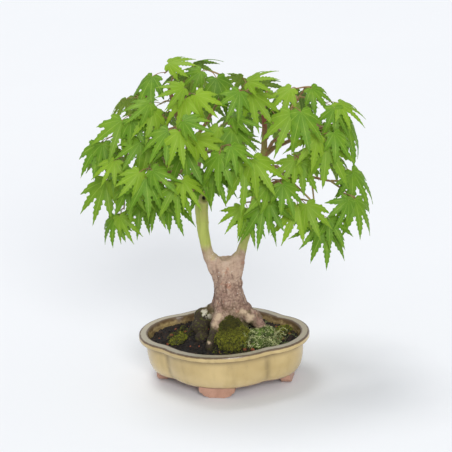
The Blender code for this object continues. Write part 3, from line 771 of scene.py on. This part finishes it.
set_values(wood, "thin_twig", 1 - ease(thick, 4.2 * MM, 8.0 * MM))
# Darker in the dips of the wrinkles and crumbs: partly the furrows' own darker bark, partly painted
# shade.
furrow_dark_and_shade = (ease(-wrinkle, 0.12, 0.5) + ease(-crumb, 0.15, 0.5)) * 0.7
furrow_dark_and_shade += ease(-around_base, 0.1, 0.5) * base * 0.6
set_values(wood, "furrow_and_shade", np.clip(furrow_dark_and_shade, 0, 1) * bark)
x, y, z = from_front(wood_points).T
left_root = ease(-x, 8, 15) * ease(-z, -82, -74)
front_root = ease(-y, 24, 29) * ease(-x, 4, 7) * ease(-z, -68, -62)
set_values(wood, "old_root", np.maximum(left_root, front_root))
peeled = np.zeros(len(wood_points))
for x, y, z, wide in PEELED:
    away = np.linalg.norm(wood_points - np.array(in_tree(x, y, z)), axis=1) / MM
    peeled = np.maximum(peeled, np.exp(-((away / wide) ** 2)))
set_values(wood, "peeled", peeled)
# Painted shade: the pit in the callus's middle is coloured near black.
set_values(wood, "painted_shade_in_hollow", np.exp(-((knot_away / 2.9) ** 2)))
set_values(wood, "callus", np.exp(-(((knot_away - 4.4) / 1.8) ** 2)))
stub_away = np.linalg.norm((wood_points - np.array(STUB)) * (1, 1, 0.55), axis=1) / MM
set_values(wood, "dead_stub", 1 - ease(stub_away, 5.0, 10.0))
soften(wood, 70)

bark_finish = Finish("maple_bark")
height = bark_finish.axis("Z")
broad = bark_finish.cloud(70, 4)
fine = bark_finish.cloud(420, 4)
grain = bark_finish.cloud(300, 4, where=bark_finish.place((1, 1, 0.16)))
long_grain = bark_finish.cloud(210, 4, where=bark_finish.place((1, 1, 0.3)))
low_down = height.between(0.115, 0.078) * fine.between(0.3, 0.6)
rusty = bark_finish.cloud(150, 3).between(0.58, 0.70)
pale_face = bark_finish.cloud(36, 2).between(0.45, 0.62) * height.between(0.10, 0.125)
rugged = height.between(0.126, 0.098, 0.25, 1.0)
dark_streak = long_grain.between(0.55, 0.66) * height.between(0.132, 0.112)
lichen = bark_finish.cells(330).between(0.22, 0.12) * bark_finish.cloud(60, 2).between(0.48, 0.6)
green_stain = bark_finish.cloud(55, 4).between(0.42, 0.60) * height.between(0.090, 0.066)
old_root = bark_finish.stored("old_root")
crust = height.between(0.066, 0.074) * bark_finish.cloud(130, 4).between(0.48, 0.56)
peeled_share = bark_finish.stored("peeled") + (bark_finish.cloud(190, 4) - 0.5) * 1.9
old_bark = bark_finish.layered(
    paint(196, 168, 146),
    (broad.between(0.35, 0.65), paint(164, 134, 116)),
    (low_down * 0.75, paint(134, 104, 92)),
    (rusty * 0.5, paint(184, 120, 90)),
    (pale_face * 0.7, paint(210, 184, 162)),
    # furrows darker: partly their own bark, partly painted shade
    (bark_finish.stored("furrow_and_shade") * rugged * 0.75, paint(104, 78, 64)),
    (fine.between(0.53, 0.68) * rugged * 0.5, paint(112, 86, 74)),
    (dark_streak * 0.7, paint(100, 74, 60)),
    (long_grain.between(0.44, 0.36) * 0.45, paint(206, 182, 160)),
    (lichen * 0.85, paint(222, 218, 206)),
    (green_stain * 0.85, paint(84, 84, 32)),
    (old_root * 0.96, paint(46, 36, 22)),
    (old_root * fine.between(0.5, 0.62) * 0.8, paint(78, 78, 26)),
    (old_root * crust, paint(206, 200, 178)),
    (peeled_share.between(0.3, 1.0) * 0.85, paint(208, 184, 154)),
)
streaks = bark_finish.cloud(200, 3, where=bark_finish.place((1, 1, 0.1)))
green_bark = bark_finish.layered(
    paint(180, 188, 92),
    (streaks.between(0.35, 0.7), paint(152, 162, 70)),
    (bark_finish.cloud(45, 3).between(0.52, 0.72) * 0.5, paint(184, 166, 104)),
    (bark_finish.cells(500).between(0.14, 0.06) * 0.5, paint(196, 188, 150)),
)
brown_rise = height + (bark_finish.cloud(90, 3) - 0.5) * 0.036 + (streaks - 0.5) * 0.016
twig_colour = bark_finish.mix(fine.between(0.35, 0.65), paint(134, 122, 70), paint(146, 96, 66))
colour = bark_finish.layered(
    old_bark,
    (brown_rise.between(0.128, 0.151), green_bark),
    (bark_finish.stored("thin_twig") * height.between(0.150, 0.175), twig_colour),
    (bark_finish.stored("callus") * 0.55, paint(176, 158, 112)),
    (bark_finish.stored("dead_stub"), paint(142, 84, 58)),
    # painted shade in the callus's pit
    (bark_finish.stored("painted_shade_in_hollow").between(0.25, 0.7), paint(44, 32, 24)),
)
on_bark = brown_rise.between(0.149, 0.134)
relief = bark_finish.bump(bark_finish.cloud(700, 4) * on_bark, 0.0012, 1.0)
relief = bark_finish.bump(grain, 0.0005, 0.6, under=relief)
bark_finish.wear(Base_Color=colour, Roughness=on_bark * 0.3 + fine * 0.12 + 0.5, Normal=relief)
wood.data.materials.append(bark_finish.material)
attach(wood, "root")
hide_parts("trunk_and_branches")


# ---------------------------------------------------------------- Moss
# Cushions of living moss sit on the mound against the roots: a deep dark one in front, a
# loose star moss with creeping pale stems on the right, and two small patches by the lip.
# Each is a springy pad set all over with short leafy shoots.
MOSS_GRID = 0.7 * MM
HIGHEST_STRAY = 71 * MM
wood_tree = surface_tree(wood)
soil_tree = surface_tree(soil_bed)


def moss_shoot(place, up, height, leaves, dice):
    """A tiny shoot: pointed leaflets spread round a point, each folded along its middle."""
    points = []
    faces = []
    turn = dice.uniform(0, 6.28)
    side = up.orthogonal().normalized()
    other = up.cross(side)
    for leaf in range(leaves):
        angle = turn + leaf * 6.283 / leaves + dice.uniform(-0.3, 0.3)
        out = side * math.cos(angle) + other * math.sin(angle)
        across = out.cross(up)
        lean = dice.uniform(0.35, 1.0)
        reach = height * dice.uniform(0.75, 1.15)
        tip = place + (out * lean + up).normalized() * reach
        half = place + (out * lean * 0.7 + up).normalized() * reach * 0.45
        width = height * 0.16
        start = len(points)
        points += [place - up * height * 0.1, half - across * width, half + across * width, tip,
                   half + up * width * 0.5 - out * width * 0.4]
        faces += [[start, start + 4, start + 1], [start, start + 2, start + 4],
                  [start + 1, start + 4, start + 3], [start + 4, start + 2, start + 3],
                  [start, start + 1, start + 3, start + 2]]
    return points, faces


def creeping_sprig(place, heading, length, dice):
    """A thin creeping stem that rises and arches over, with leaflets in pairs."""
    along = Vector((math.cos(heading), math.sin(heading), 0))
    path = []
    spots = 7
    for step in range(spots):
        share = step / (spots - 1)
        rise = math.sin(share * 2.4) * length * 0.55
        sway = math.sin(share * 3 + heading) * length * 0.12
        point = place + along * share * length * 0.85 + Vector((-along.y, along.x, 0)) * sway
        path.append((point + Vector((0, 0, rise)), (0.24 - 0.11 * share) * MM))
    parts = [bent_tube(path, 3)]
    for step in range(1, spots):
        point = path[step][0]
        ahead = (path[step][0] - path[step - 1][0]).normalized()
        aside = ahead.cross(Vector((0, 0, 1))).normalized()
        for way in (-1, 1):
            reach = dice.uniform(1.0, 2.0) * MM
            tip = point + (aside * way + ahead * 0.7 + Vector((0, 0, 0.5))).normalized() * reach
            side = ahead * 0.22 * reach
            lift = Vector((0, 0, 0.12 * MM))
            points = [point, point.lerp(tip, 0.5) + side, tip, point.lerp(tip, 0.5) - side,
                      point.lerp(tip, 0.45) + lift]
            faces = [[0, 1, 4], [1, 2, 4], [2, 3, 4], [3, 0, 4], [0, 3, 2, 1]]
            parts.append((points, faces))
    return parts


def moss_finish(name, light, middle, dark, aged):
    """Moss green with drifting patches, paler at the shoots' points and aged on top."""
    made = Finish(
        name, Subsurface_Weight=0.12, Subsurface_Scale=0.002, Subsurface_Radius=(0.5, 1.0, 0.2)
    )
    patch = made.cloud(160, 3)
    tone = made.stored("shoot_tone")
    aged_top = (made.axis("Z") + (patch - 0.5) * 0.02).between(0.060, 0.067)
    colour = made.layered(
        dark,
        (patch.between(0.35, 0.68), middle),
        (tone.between(0.35, 1.0), light),
        (aged_top * 0.75, aged),
    )
    made.wear(Base_Color=colour, Roughness=patch * 0.2 + 0.7)
    return made


deep_moss = moss_finish(
    "deep_moss", paint(168, 170, 46), paint(90, 92, 18), paint(42, 42, 12), paint(52, 46, 18)
)
star_moss = moss_finish(
    "star_moss", paint(220, 224, 160), paint(98, 122, 44), paint(50, 60, 22), paint(176, 186, 118)
)


def moss_cushion(name, node, finish, shoots, height, seed, sprigs=0, spread=1.0, strays=0,
                 mounds=(), drift=(0, 0)):
    """A pad from the node's shape, set with shoots, and strays spreading off to one side."""
    dice = random.Random(seed)
    pad = merged_copy(node, name)
    add_lumps(pad, mounds)
    apply_modifier(pad, "REMESH", mode="VOXEL", voxel_size=MOSS_GRID, adaptivity=0.0)
    smoothed(pad, np.full(len(pad.data.vertices), 0.8), 16)
    points = points_of(pad)
    normals = normals_of(pad)
    lumpy = lumps(points, 5 * MM, seed=seed) * 1.1 + lumps(points, 1.6 * MM, seed=seed + 3) * 0.5
    move_points(pad, points + normals * (lumpy * MM)[:, None])
    set_values(pad, "shoot_tone", np.zeros(len(points)))
    pad.data.materials.append(finish.material)
    upper = [face for face in pad.data.polygons if face.normal.z > 0.1]
    parts = []
    tones = []

    def add(points_and_faces, low, high):
        parts.append(points_and_faces)
        count = len(points_and_faces[0])
        tones.extend([low + (high - low) * (corner % 5 == 3) for corner in range(count)])

    for _ in range(shoots):
        face = dice.choice(upper)
        lean = Vector((dice.gauss(0, 0.35), dice.gauss(0, 0.35), 0.6))
        up = (face.normal * 1.2 + lean).normalized()
        tall = height * dice.uniform(0.6, 1.3)
        shoot = moss_shoot(face.center.copy(), up, tall, dice.choice((4, 5, 6)), dice)
        tone = dice.uniform(0.0, 0.7)
        add(shoot, tone * 0.9, tone + 0.5)
    low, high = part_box(node)
    middle = (low + high) / 2 + Matrix.Rotation(TREE_TURN, 3, "Z") @ Vector((*drift, 0)) * MM
    reach = max(high.x - low.x, high.y - low.y) / 2 * spread
    for order in range(strays + sprigs):
        angle = dice.uniform(0, 6.283)
        away = reach * dice.uniform(0.2, 1.0)
        spot = Vector((middle.x + math.cos(angle) * away, middle.y + math.sin(angle) * away, 0.2))
        hits = [tree.ray_cast(spot, Vector((0, 0, -1))) for tree in (soil_tree, wood_tree)]
        hits = [hit for hit in hits if hit[0] is not None]
        if not hits:
            continue
        place, normal = max(hits, key=lambda hit: hit[0].z)[:2]
        on_wood = hits[-1][0] == place and place.z > soil_height(place.x, place.y) + 3 * MM
        if place.z > HIGHEST_STRAY or on_wood:
            continue
        if order < strays:
            shoot = moss_shoot(place, (normal + Vector((0, 0, 0.7))).normalized(),
                               height * dice.uniform(0.6, 1.2), 5, dice)
            tone = dice.uniform(0.0, 0.7)
            add(shoot, tone * 0.4, tone + 0.3)
        else:
            if noise.noise(place / (7 * MM)) < -0.05:
                continue
            sprig_tone = dice.uniform(0.2, 1.0)
            heading, length = dice.uniform(0, 6.283), dice.uniform(6, 13) * MM
            for part in creeping_sprig(place, heading, length, dice):
                parts.append(part)
                tones.extend([sprig_tone] * len(part[0]))
    tufts = mesh_piece("tufts", parts, finish)
    set_values(tufts, "shoot_tone", tones)
    pick(pad)
    bpy.ops.object.shade_smooth()
    join_on(pad, tufts)
    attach(pad, "root")
    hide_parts(node)


moss_cushion(
    "deep_moss_front", "moss_front", deep_moss, 3400, 1.8 * MM, 21, spread=1.5, strays=500,
    mounds=[(6, -16, 66, 11, 7, 8), (6, -22, 61, 13, 9, 9), (0, -29, 53, 11, 8, 8),
            (15, -26, 56, 10, 8, 8)],
)
moss_cushion(
    "star_moss_front_right", "star_moss_right", star_moss, 600, 1.5 * MM, 22, sprigs=340,
    spread=1.9, strays=300, mounds=[(32, -22, 53, 9, 7, 6), (41, -19, 53, 9, 8, 7)], drift=(-6, 8),
)
moss_cushion(
    "moss_by_lip", "moss_far_right", deep_moss, 300, 1.3 * MM, 23, sprigs=6, spread=1.3, strays=60
)
moss_cushion(
    "moss_on_left_root", "moss_left", deep_moss, 380, 1.3 * MM, 24, sprigs=24, spread=1.6,
    strays=260, drift=(5, 13),
)


# ---------------------------------------------------------------- Leaf sprays
# Each shoot carries two or three leaves on thin reddish petioles. A leaf is one thin blade
# of seven pointed, toothed lobes round the petiole's end; it arches over and hangs.
# How a spray may have been moved aside to clear the others: outwards and upwards in
# millimetres, and its leaves turned in degrees.
LEAF_VARIANTS = [
    (push, lift, turn)
    for push in (0, 6, -6, 12, 18, 25)
    for lift in (0, 6, -6, 12)
    for turn in (0, 10, -10, 20, -20, 35)
]
# Where a plain blade's tips and dips are: degrees from its middle lobe, and share of length.
LEAF_OUTLINE = [(0, 1.0), (14, 0.40), (28, 0.93), (44, 0.36), (60, 0.70), (102, 0.34)]
LOBES = [(-101, 0.27), (-59, 0.65), (-28, 0.91), (0, 1.0), (28, 0.91), (59, 0.65), (101, 0.27)]
LEAF_DROOP = 0.20
PETIOLE_LENGTH = 16
LEAF_LAYER = 4.0
BLADE_THICKNESS = 0.32 * MM
SHOOT_IN_WOOD = 0.9 * MM
# The shoot's tip in millimetres from the tree's own front, then each leaf as its heading
# (clock angle, 180 hangs straight down) and length.
SPRAYS = [
    (-38, -10, 320, (212, 38), (80, 30)),
    (4, -6, 318, (172, 38), (225, 28)),
    (-14, -26, 304, (200, 38), (140, 34), (265, 30)),
    (-44, -24, 300, (195, 36), (235, 32)),
    (-70, -18, 284, (200, 42), (160, 34)),
    (-94, -12, 262, (196, 38), (165, 32)),
    (-90, -16, 226, (198, 44), (160, 32)),
    (-26, -36, 284, (220, 38), (170, 36), (110, 30)),
    (10, -56, 258, (190, 38), (130, 34)),
    (-22, -44, 266, (195, 42), (125, 34), (250, 32)),
    (-58, -34, 268, (150, 36), (205, 36)),
    (-54, -42, 246, (182, 42), (225, 32), (130, 32)),
    (-2, -48, 236, (205, 40), (160, 36)),
    (16, -36, 278, (225, 34), (165, 38), (100, 30)),
    (-80, -30, 252, (186, 34), (220, 30)),
    (-74, -34, 226, (195, 34), (155, 32)),
    (-66, -28, 206, (190, 34), (150, 32)),
    (-82, -22, 200, (198, 32), (165, 30)),
    (-44, -36, 204, (168, 36), (215, 32)),
    (-30, -44, 226, (184, 40), (145, 32)),
    (32, -26, 302, (162, 42), (70, 32), (215, 32)),
    (102, -34, 258, (185, 48), (225, 36), (145, 34)),
    (70, -28, 286, (205, 44), (165, 42)),
    (84, -8, 296, (240, 32), (150, 30)),
    (98, -12, 288, (125, 36), (175, 34)),
    (116, -10, 268, (168, 46), (195, 36)),
    (30, -46, 250, (186, 46), (140, 40), (235, 34)),
    (78, -32, 238, (180, 36), (220, 32)),
    (54, -42, 226, (228, 36), (160, 34)),
    (46, -48, 208, (186, 42), (150, 34)),
    (28, -38, 196, (176, 34), (212, 30)),
    (78, -36, 196, (203, 40), (165, 38)),
    (96, -24, 172, (177, 42), (215, 32), (145, 32)),
    (112, -16, 194, (170, 40), (205, 34)),
    (124, -8, 216, (165, 44), (190, 32)),
    (-66, 10, 292, (205, 34), (160, 34)),
    (-14, 12, 306, (160, 34), (215, 32), (90, 28)),
    (38, 14, 292, (185, 36), (140, 34), (240, 28)),
    (80, 22, 284, (165, 36), (205, 34)),
    (-92, 16, 240, (200, 38), (165, 34)),
    (-54, 44, 262, (200, 40), (155, 38), (250, 30)),
    (-8, 44, 276, (195, 40), (150, 38), (245, 32)),
    (30, 38, 262, (200, 40), (140, 36)),
    (62, 50, 252, (180, 40), (145, 36), (225, 34)),
    (100, 26, 256, (165, 40), (200, 34)),
    (-44, 54, 214, (190, 38), (220, 34)),
    (16, 60, 226, (185, 40), (150, 36), (225, 34)),
    (86, 48, 214, (180, 40), (145, 36)),
    (106, 18, 222, (160, 38), (195, 34)),
]


def leaf_frame(tip, heading, length, roll):
    """Junction of petiole and blade in millimetres, with the blade's three axes."""
    clock = math.radians(heading)
    outward = max(-1.0, min(1.0, tip.y / 12.0))
    top = max(0.0, min(1.0, (tip.z - 260) / 70))
    axis = Vector((math.sin(clock), 0.6 * outward, math.cos(clock) * (1 - 0.4 * top))).normalized()
    face = Vector((0.5 * tip.x / 140, outward, 0.75))
    face = (face - axis * face.dot(axis)).normalized()
    side = face.cross(axis)
    face = (face * math.cos(roll) + side * math.sin(roll)).normalized()
    side = face.cross(axis)
    away = Vector((tip.x * 0.4, tip.y * 1.2, 0)).normalized()
    reach = (axis * 0.75 + away * 0.45 + Vector((0, 0, 0.45))).normalized()
    return tip + reach * PETIOLE_LENGTH * (0.6 + length / 100), axis, side, face


def spray_leaves(index, way):
    """The spray's tip and, for each leaf, its length and its frame."""
    push, lift, turn = way
    x, y, z, *leaves = SPRAYS[index]
    dice = random.Random(100 + index)
    tip = Vector((x, y, z))
    tip += Vector((tip.x * 0.5, tip.y * 1.5, 0)).normalized() * push
    tip.z += lift
    frames = []
    for order, (heading, length) in enumerate(leaves):
        roll = math.radians(dice.uniform(-22, 22))
        swing = dice.uniform(-6, 6)
        junction, axis, side, face = leaf_frame(tip, heading + turn + swing, length, roll)
        frames.append((length, junction + face * LEAF_LAYER * order, axis, side, face))
    return tip, frames


def spray_as_built(index):
    """The spray's tip, its leaves and where its shoot starts, as moved aside when laid out."""
    places = from_front(points_of(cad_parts[f"leaf_spray_{index + 1:02d}"]))
    best = None
    for way in LEAF_VARIANTS:
        tip, frames = spray_leaves(index, way)
        gaps = []
        for length, junction, axis, side, face in frames:
            for angle, reach in LEAF_OUTLINE[::2]:
                turned = math.radians(angle)
                flat = axis * math.cos(turned) + side * math.sin(turned)
                point = junction + flat * reach * length - face * LEAF_DROOP * reach**2 * length
                gaps.append(np.linalg.norm(places - np.array(point), axis=1).min())
        off = float(np.median(gaps))
        if best is None or off < best[0]:
            best = (off, way)
    tip, frames = spray_leaves(index, best[1])
    loose = np.ones(len(places), bool)
    for length, junction, axis, side, face in frames:
        loose &= np.linalg.norm(places - np.array(junction), axis=1) > length * 1.03
        stalk = np.array(junction - tip)
        along = np.clip((places - np.array(tip)) @ stalk / (junction - tip).length_squared, 0, 1)
        nearest = np.array(tip) + along[:, None] * stalk
        loose &= np.linalg.norm(places - nearest, axis=1) > 2.6
    away = np.where(loose, np.linalg.norm(places - np.array(tip), axis=1), -1)
    start = places[np.argsort(away)[-4:]].mean(axis=0)
    return tip, frames, Vector(start)


def leaf_blade(dice):
    """Points, depths, faces and UV corners of one flat leaf whose middle lobe is 1 long."""
    points = []
    faces = []
    corners = []
    depths = []
    plump = dice.uniform(0.74, 0.98)
    for order, (angle, reach) in enumerate(LOBES):
        gaps = []
        for step in (-1, 1):
            if 0 <= order + step < len(LOBES):
                gap = abs(LOBES[order + step][0] - angle) / 2
                gaps.append((math.tan(math.radians(gap)), 0.33 if gap < 20 else 0.20))
            else:
                gaps.append((None, 0.0))
        swing = math.radians(angle + dice.uniform(-3.5, 3.5))
        length = reach * dice.uniform(0.90, 1.05)
        curl = dice.uniform(-0.02, 0.10)
        sway = dice.uniform(-0.05, 0.05)
        fold = dice.uniform(0.10, 0.45)
        shared = [0.0, 0.10, 0.20] + ([0.27, 0.33] if reach > 0.5 else [])
        teeth = max(4, round((length - shared[-1]) * 19))
        fade = [1 - 0.75 * (tooth / teeth) ** 2 for tooth in range(teeth + 1)]
        bite = [dice.uniform(0.10, 0.30) * share for share in fade]
        rows = [(place, 0) for place in shared]
        for tooth in range(1, teeth + 1):
            rows.append((shared[-1] + (length - shared[-1]) * tooth / teeth, tooth))
        start = len(points)
        for place, tooth in rows:
            edges = []
            for (slope, split) in gaps:
                if slope is None:
                    wide = 0.075 * math.sin(math.pi * min(place / length, 1.0))
                elif place <= split + 1e-6:
                    wide = place * slope
                else:
                    share = (place - split) / (length - split)
                    wide = split * slope * (1 + 3.6 * share) * max(1 - share, 0) ** 1.5 * plump
                    wide = min(wide, 0.90 * place * slope)
                if tooth and tooth < teeth:
                    wide *= 1 + bite[tooth] if tooth % 2 else 1 - bite[tooth]
                edges.append(wide)
            free = max(0.0, (place - shared[-1]) / (length - shared[-1]))
            for column, share in enumerate((-1, -0.5, 0, 0.5, 1)):
                wide = edges[0] if share < 0 else edges[1]
                along = place + (0.020 if tooth % 2 and abs(share) == 1 and tooth < teeth else 0)
                across = share * wide + sway * free**2 * length
                x = along * math.cos(swing) - across * math.sin(swing)
                y = along * math.sin(swing) + across * math.cos(swing)
                if place <= shared[-1] and abs(share) == 1 and tooth == 0:
                    steady = math.radians(angle)
                    x = along * math.cos(steady) - across * math.sin(steady)
                    y = along * math.sin(steady) + across * math.cos(steady)
                points.append((x, y))
                folded = fold * abs(share) * wide * (0.3 + 0.7 * free)
                depths.append(folded - curl * free**2 * length)
                corners.append((share * 0.5 + 0.5, place / length))
        for row in range(len(rows) - 1):
            for column in range(4):
                low = start + row * 5 + column
                faces.append([low, low + 5, low + 6, low + 1])
    return points, depths, faces, corners


LEAF_FLESH = {
    "Specular_IOR_Level": 0.32, "Subsurface_Weight": 0.18, "Subsurface_Scale": 0.0008,
    "Subsurface_Radius": (0.6, 1.0, 0.15),
}
leaf_top = Finish("maple_leaf", IOR=1.38, **LEAF_FLESH)
leaf_under = Finish("maple_leaf_underside", IOR=1.42, **LEAF_FLESH)
# Each side's greens: middle, sunny, a darker green painted as shade deep in the crown, and the
# veins' green.
LEAF_GREENS = [
    (leaf_top, paint(92, 132, 28), paint(130, 162, 38), paint(28, 68, 14), paint(156, 182, 76)),
    (leaf_under, paint(116, 148, 54), paint(144, 170, 64), paint(62, 102, 34), paint(170, 190, 98)),
]
for finish, middle_green, sunny_green, painted_shade_green, vein_green in LEAF_GREENS:
    tints_and_shade = finish.stored("tint", "Color")
    tint = finish.node("ShaderNodeSeparateColor", {}, {0: tints_and_shade}, 0)
    # The tint's second channel is painted shade, higher for leaves deep inside the crown.
    depth = finish.node("ShaderNodeSeparateColor", {}, {0: tints_and_shade}, 1)
    map_node = finish.node("ShaderNodeUVMap", {"uv_map": "lobe"}, {})
    across = abs(finish.node("ShaderNodeSeparateXYZ", {}, {0: map_node}, 0) - 0.5) * 2
    along = finish.node("ShaderNodeSeparateXYZ", {}, {0: map_node}, 1)
    midrib = across.between(0.13, 0.03)
    side_vein = along.maths("FRACT", along * 8 - across * 2.2)
    side_vein = abs(side_vein - 0.5).between(0.08, 0.0) * across.between(0.95, 0.5)
    veins = midrib.maths("MAXIMUM", midrib, side_vein * 0.55)
    colour = finish.layered(
        middle_green,
        (tint.between(0.25, 0.9), sunny_green),
        # painted shade deep inside the crown
        (depth.between(0.3, 1.0) * 0.8, painted_shade_green),
        (finish.cloud(120, 3).between(0.4, 0.75) * 0.4, sunny_green),
        (veins * 0.55, vein_green),
        (along.between(0.93, 1.0) * across * 0.35, paint(170, 150, 80)),
    )
    relief = finish.bump(veins, 0.0003, -0.7 if finish is leaf_top else 0.8)
    relief = finish.bump(finish.cloud(1300, 3), 0.0003, 0.35, under=relief)
    finish.wear(Base_Color=colour, Roughness=finish.cloud(500, 2) * 0.15 + 0.44, Normal=relief)

shoot_bark = Finish("green_shoot", IOR=1.42)
shoot_tone = shoot_bark.cloud(260, 3)
redness = shoot_bark.stored("redness")
reddened = redness * shoot_tone.between(0.2, 0.7, 0.5, 1.0)
shoot_colour = shoot_bark.layered(
    paint(122, 136, 66),
    (shoot_tone.between(0.3, 0.7), paint(150, 140, 82)),
    (reddened, paint(170, 104, 84)),
)
shoot_bark.wear(Base_Color=shoot_colour, Roughness=shoot_tone * 0.2 + 0.4)


def spray_piece(index):
    """One spray: its shoot, petioles and blades as a single piece."""
    tip, frames, start = spray_as_built(index)
    dice = random.Random(500 + index)
    run = tip - start
    rise = Vector((0, 0, 1)) * run.length * 0.08
    bark_place, bark_normal = wood_tree.find_nearest(in_tree(*start))[:2]
    into_wood = Vector(from_front(np.array(bark_place - bark_normal * SHOOT_IN_WOOD)))
    shoot = [(into_wood, 1.05), (start, 0.98), (start + run * 0.5 + rise, 0.82), (tip, 0.72),
             (tip + run.normalized() * 1.2, 0.35)]
    stems = [bent_tube([(point, size) for point, size in eased(shoot)], 7)]
    redness = [0.4] * len(stems[0][0])
    points = []
    faces = []
    corners = []
    tints_and_shade = []
    # The longer shoots behind the trunk carry a second pair of small leaves lower down.
    lower_pair = []
    if run.length > 18 and tip.y > 5 and abs(tip.x) < 66 and tip.z < 280:
        node_place = start.lerp(tip, 0.5) + rise * 0.9
        for way in (-1, 1):
            heading = SPRAYS[index][3][0] + way * dice.uniform(45, 95)
            length = dice.uniform(22, 30)
            roll = math.radians(dice.uniform(-25, 25))
            lower_pair.append((length, *leaf_frame(node_place, heading, length, roll)))
    for order, (length, junction, axis, side, face) in enumerate(frames + lower_pair):
        origin = tip - run.normalized() * (0.9 + 1.1 * order) if order < len(frames) else node_place
        middle = origin.lerp(junction, 0.5) + Vector((0, 0, 1.5))
        joint = junction + axis * 0.6 - face * 0.15
        petiole = [(origin, 0.62), (origin.lerp(middle, 0.15), 0.42), (middle, 0.38),
                   (junction.lerp(middle, 0.1), 0.40), (joint, 0.52)]
        tube_points, tube_faces = bent_tube(eased(petiole), 6)
        stems.append((tube_points, tube_faces))
        redness += [dice.uniform(0.35, 1.0)] * len(tube_points)
        flat, depths, blade_faces, blade_corners = leaf_blade(dice)
        offset = len(points)
        # Painted shade: leaves deeper inside the crown get more of the dark green, kept in the
        # tint's second channel.
        outermost = math.hypot(junction.x / 118, junction.y / 60, (junction.z - 238) / 80)
        sunny = min(1.0, max(0.0, dice.gauss(0.45, 0.28)))
        deep = min(1.0, max(0.0, dice.gauss(1.45 - 1.25 * outermost, 0.28)))
        droop = LEAF_DROOP * dice.uniform(0.9, 1.25)
        hang = dice.uniform(0.7, 2.0)
        for (x, y), depth in zip(flat, depths):
            fall = depth - droop * (x * x + y * y) - (1 - math.cos(hang * y)) / hang
            place = junction + (axis * x + side * math.sin(hang * y) / hang + face * fall) * length
            points.append(place)
            tints_and_shade.append((sunny, deep, 0, 1))
        faces += [[offset + corner for corner in blade_face] for blade_face in blade_faces]
        corners += blade_corners
    name = f"spray_{index + 1:02d}"
    placed = [in_tree(*point) for point in points]
    blades = mesh_piece(name, [(placed, faces)], leaf_top, leaf_under, shoot_bark)
    mesh = blades.data
    lobe_map = mesh.uv_layers.new(name="lobe")
    loops = np.empty(len(mesh.loops), np.int64)
    mesh.loops.foreach_get("vertex_index", loops)
    lobe_map.data.foreach_set("uv", np.array(corners, np.float32)[loops].ravel())
    tint_layer = mesh.attributes.new("tint", "FLOAT_COLOR", "POINT")
    tint_layer.data.foreach_set("color", np.array(tints_and_shade, np.float32).ravel())
    set_values(blades, "redness", np.zeros(len(points)))
    pick(blades)
    bpy.ops.object.mode_set(mode="EDIT")
    bpy.ops.mesh.select_all(action="SELECT")
    bpy.ops.mesh.remove_doubles(threshold=0.04 * MM)
    bpy.ops.object.mode_set(mode="OBJECT")
    apply_modifier(
        blades, "SOLIDIFY", thickness=BLADE_THICKNESS, offset=0.0, material_offset=1, use_rim=True
    )
    tubes = [([in_tree(*point) for point in tube], tube_faces) for tube, tube_faces in stems]
    stem_piece = mesh_piece("stems", tubes, shoot_bark)
    set_values(stem_piece, "redness", redness)
    join_on(blades, stem_piece)
    soften(blades, 48)
    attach(blades, "root")
    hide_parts(f"leaf_spray_{index + 1:02d}")


for index in range(len(SPRAYS)):
    spray_piece(index)


# ---------------------------------------------------------------- Floor, light and camera
# A plain pale floor under soft studio light: a bright room all round, a large soft lamp in
# front on the right and another overhead.
bpy.ops.object.select_all(action="DESELECT")
bpy.ops.mesh.primitive_plane_add(size=12, location=(0, 0, 0))
floor = bpy.context.object
floor.name = "floor"
floor_finish = Finish("pale_floor", Specular_IOR_Level=0.2)
floor_tone = floor_finish.cloud(3, 2)
floor_colour = floor_finish.mix(floor_tone, (0.79, 0.805, 0.83, 1), (0.81, 0.82, 0.84, 1))
floor_finish.wear(Base_Color=floor_colour, Roughness=floor_tone * 0.1 + 0.8)
floor.data.materials.append(floor_finish.material)

world = bpy.data.worlds.new("bright_room")
bpy.context.scene.world = world
world.use_nodes = True
world.node_tree.nodes["Background"].inputs["Color"].default_value = (0.94, 0.96, 0.99, 1)
world.node_tree.nodes["Background"].inputs["Strength"].default_value = 0.45


def soft_sun(name, towards, power, spread):
    """A far lamp with a wide face, which lights the whole floor alike."""
    lamp = bpy.data.lights.new(name, "SUN")
    lamp.energy = power
    lamp.angle = math.radians(spread)
    made = bpy.data.objects.new(name, lamp)
    bpy.context.scene.collection.objects.link(made)
    made.rotation_euler = Vector(towards).to_track_quat("-Z", "Y").to_euler()


soft_sun("front_light", (-0.42, 1.0, -0.60), 1.8, 28)
soft_sun("top_light", (0.25, -0.10, -1.0), 1.5, 25)

# The camera stands in front and a little above, 1.5 m away, turned a little clockwise.
CAMERA_RISE = math.radians(19)
CAMERA_ROLL = math.radians(3.8)
CAMERA_DISTANCE = 1500
forward = Vector((0, math.cos(CAMERA_RISE), -math.sin(CAMERA_RISE)))
level = Vector((1, 0, 0))
upright = level.cross(forward)
right = level * math.cos(CAMERA_ROLL) - upright * math.sin(CAMERA_ROLL)
above = level * math.sin(CAMERA_ROLL) + upright * math.cos(CAMERA_ROLL)
turn = Matrix.Rotation(TREE_TURN, 3, "Z")
target = Vector((9.37, 0, 160.86))
camera = bpy.data.objects.new("camera", bpy.data.cameras.new("camera"))
bpy.context.scene.collection.objects.link(camera)
pose = Matrix((turn @ right, turn @ above, turn @ -forward)).transposed().to_4x4()
pose.translation = in_tree(*(target - forward * CAMERA_DISTANCE))
camera.matrix_world = pose
camera.data.lens = 122.1
camera.data.sensor_width = 36
camera.data.clip_start = 0.01
camera.data.clip_end = 50
bpy.context.scene.camera = camera
bpy.context.scene.view_settings.view_transform = "Standard"
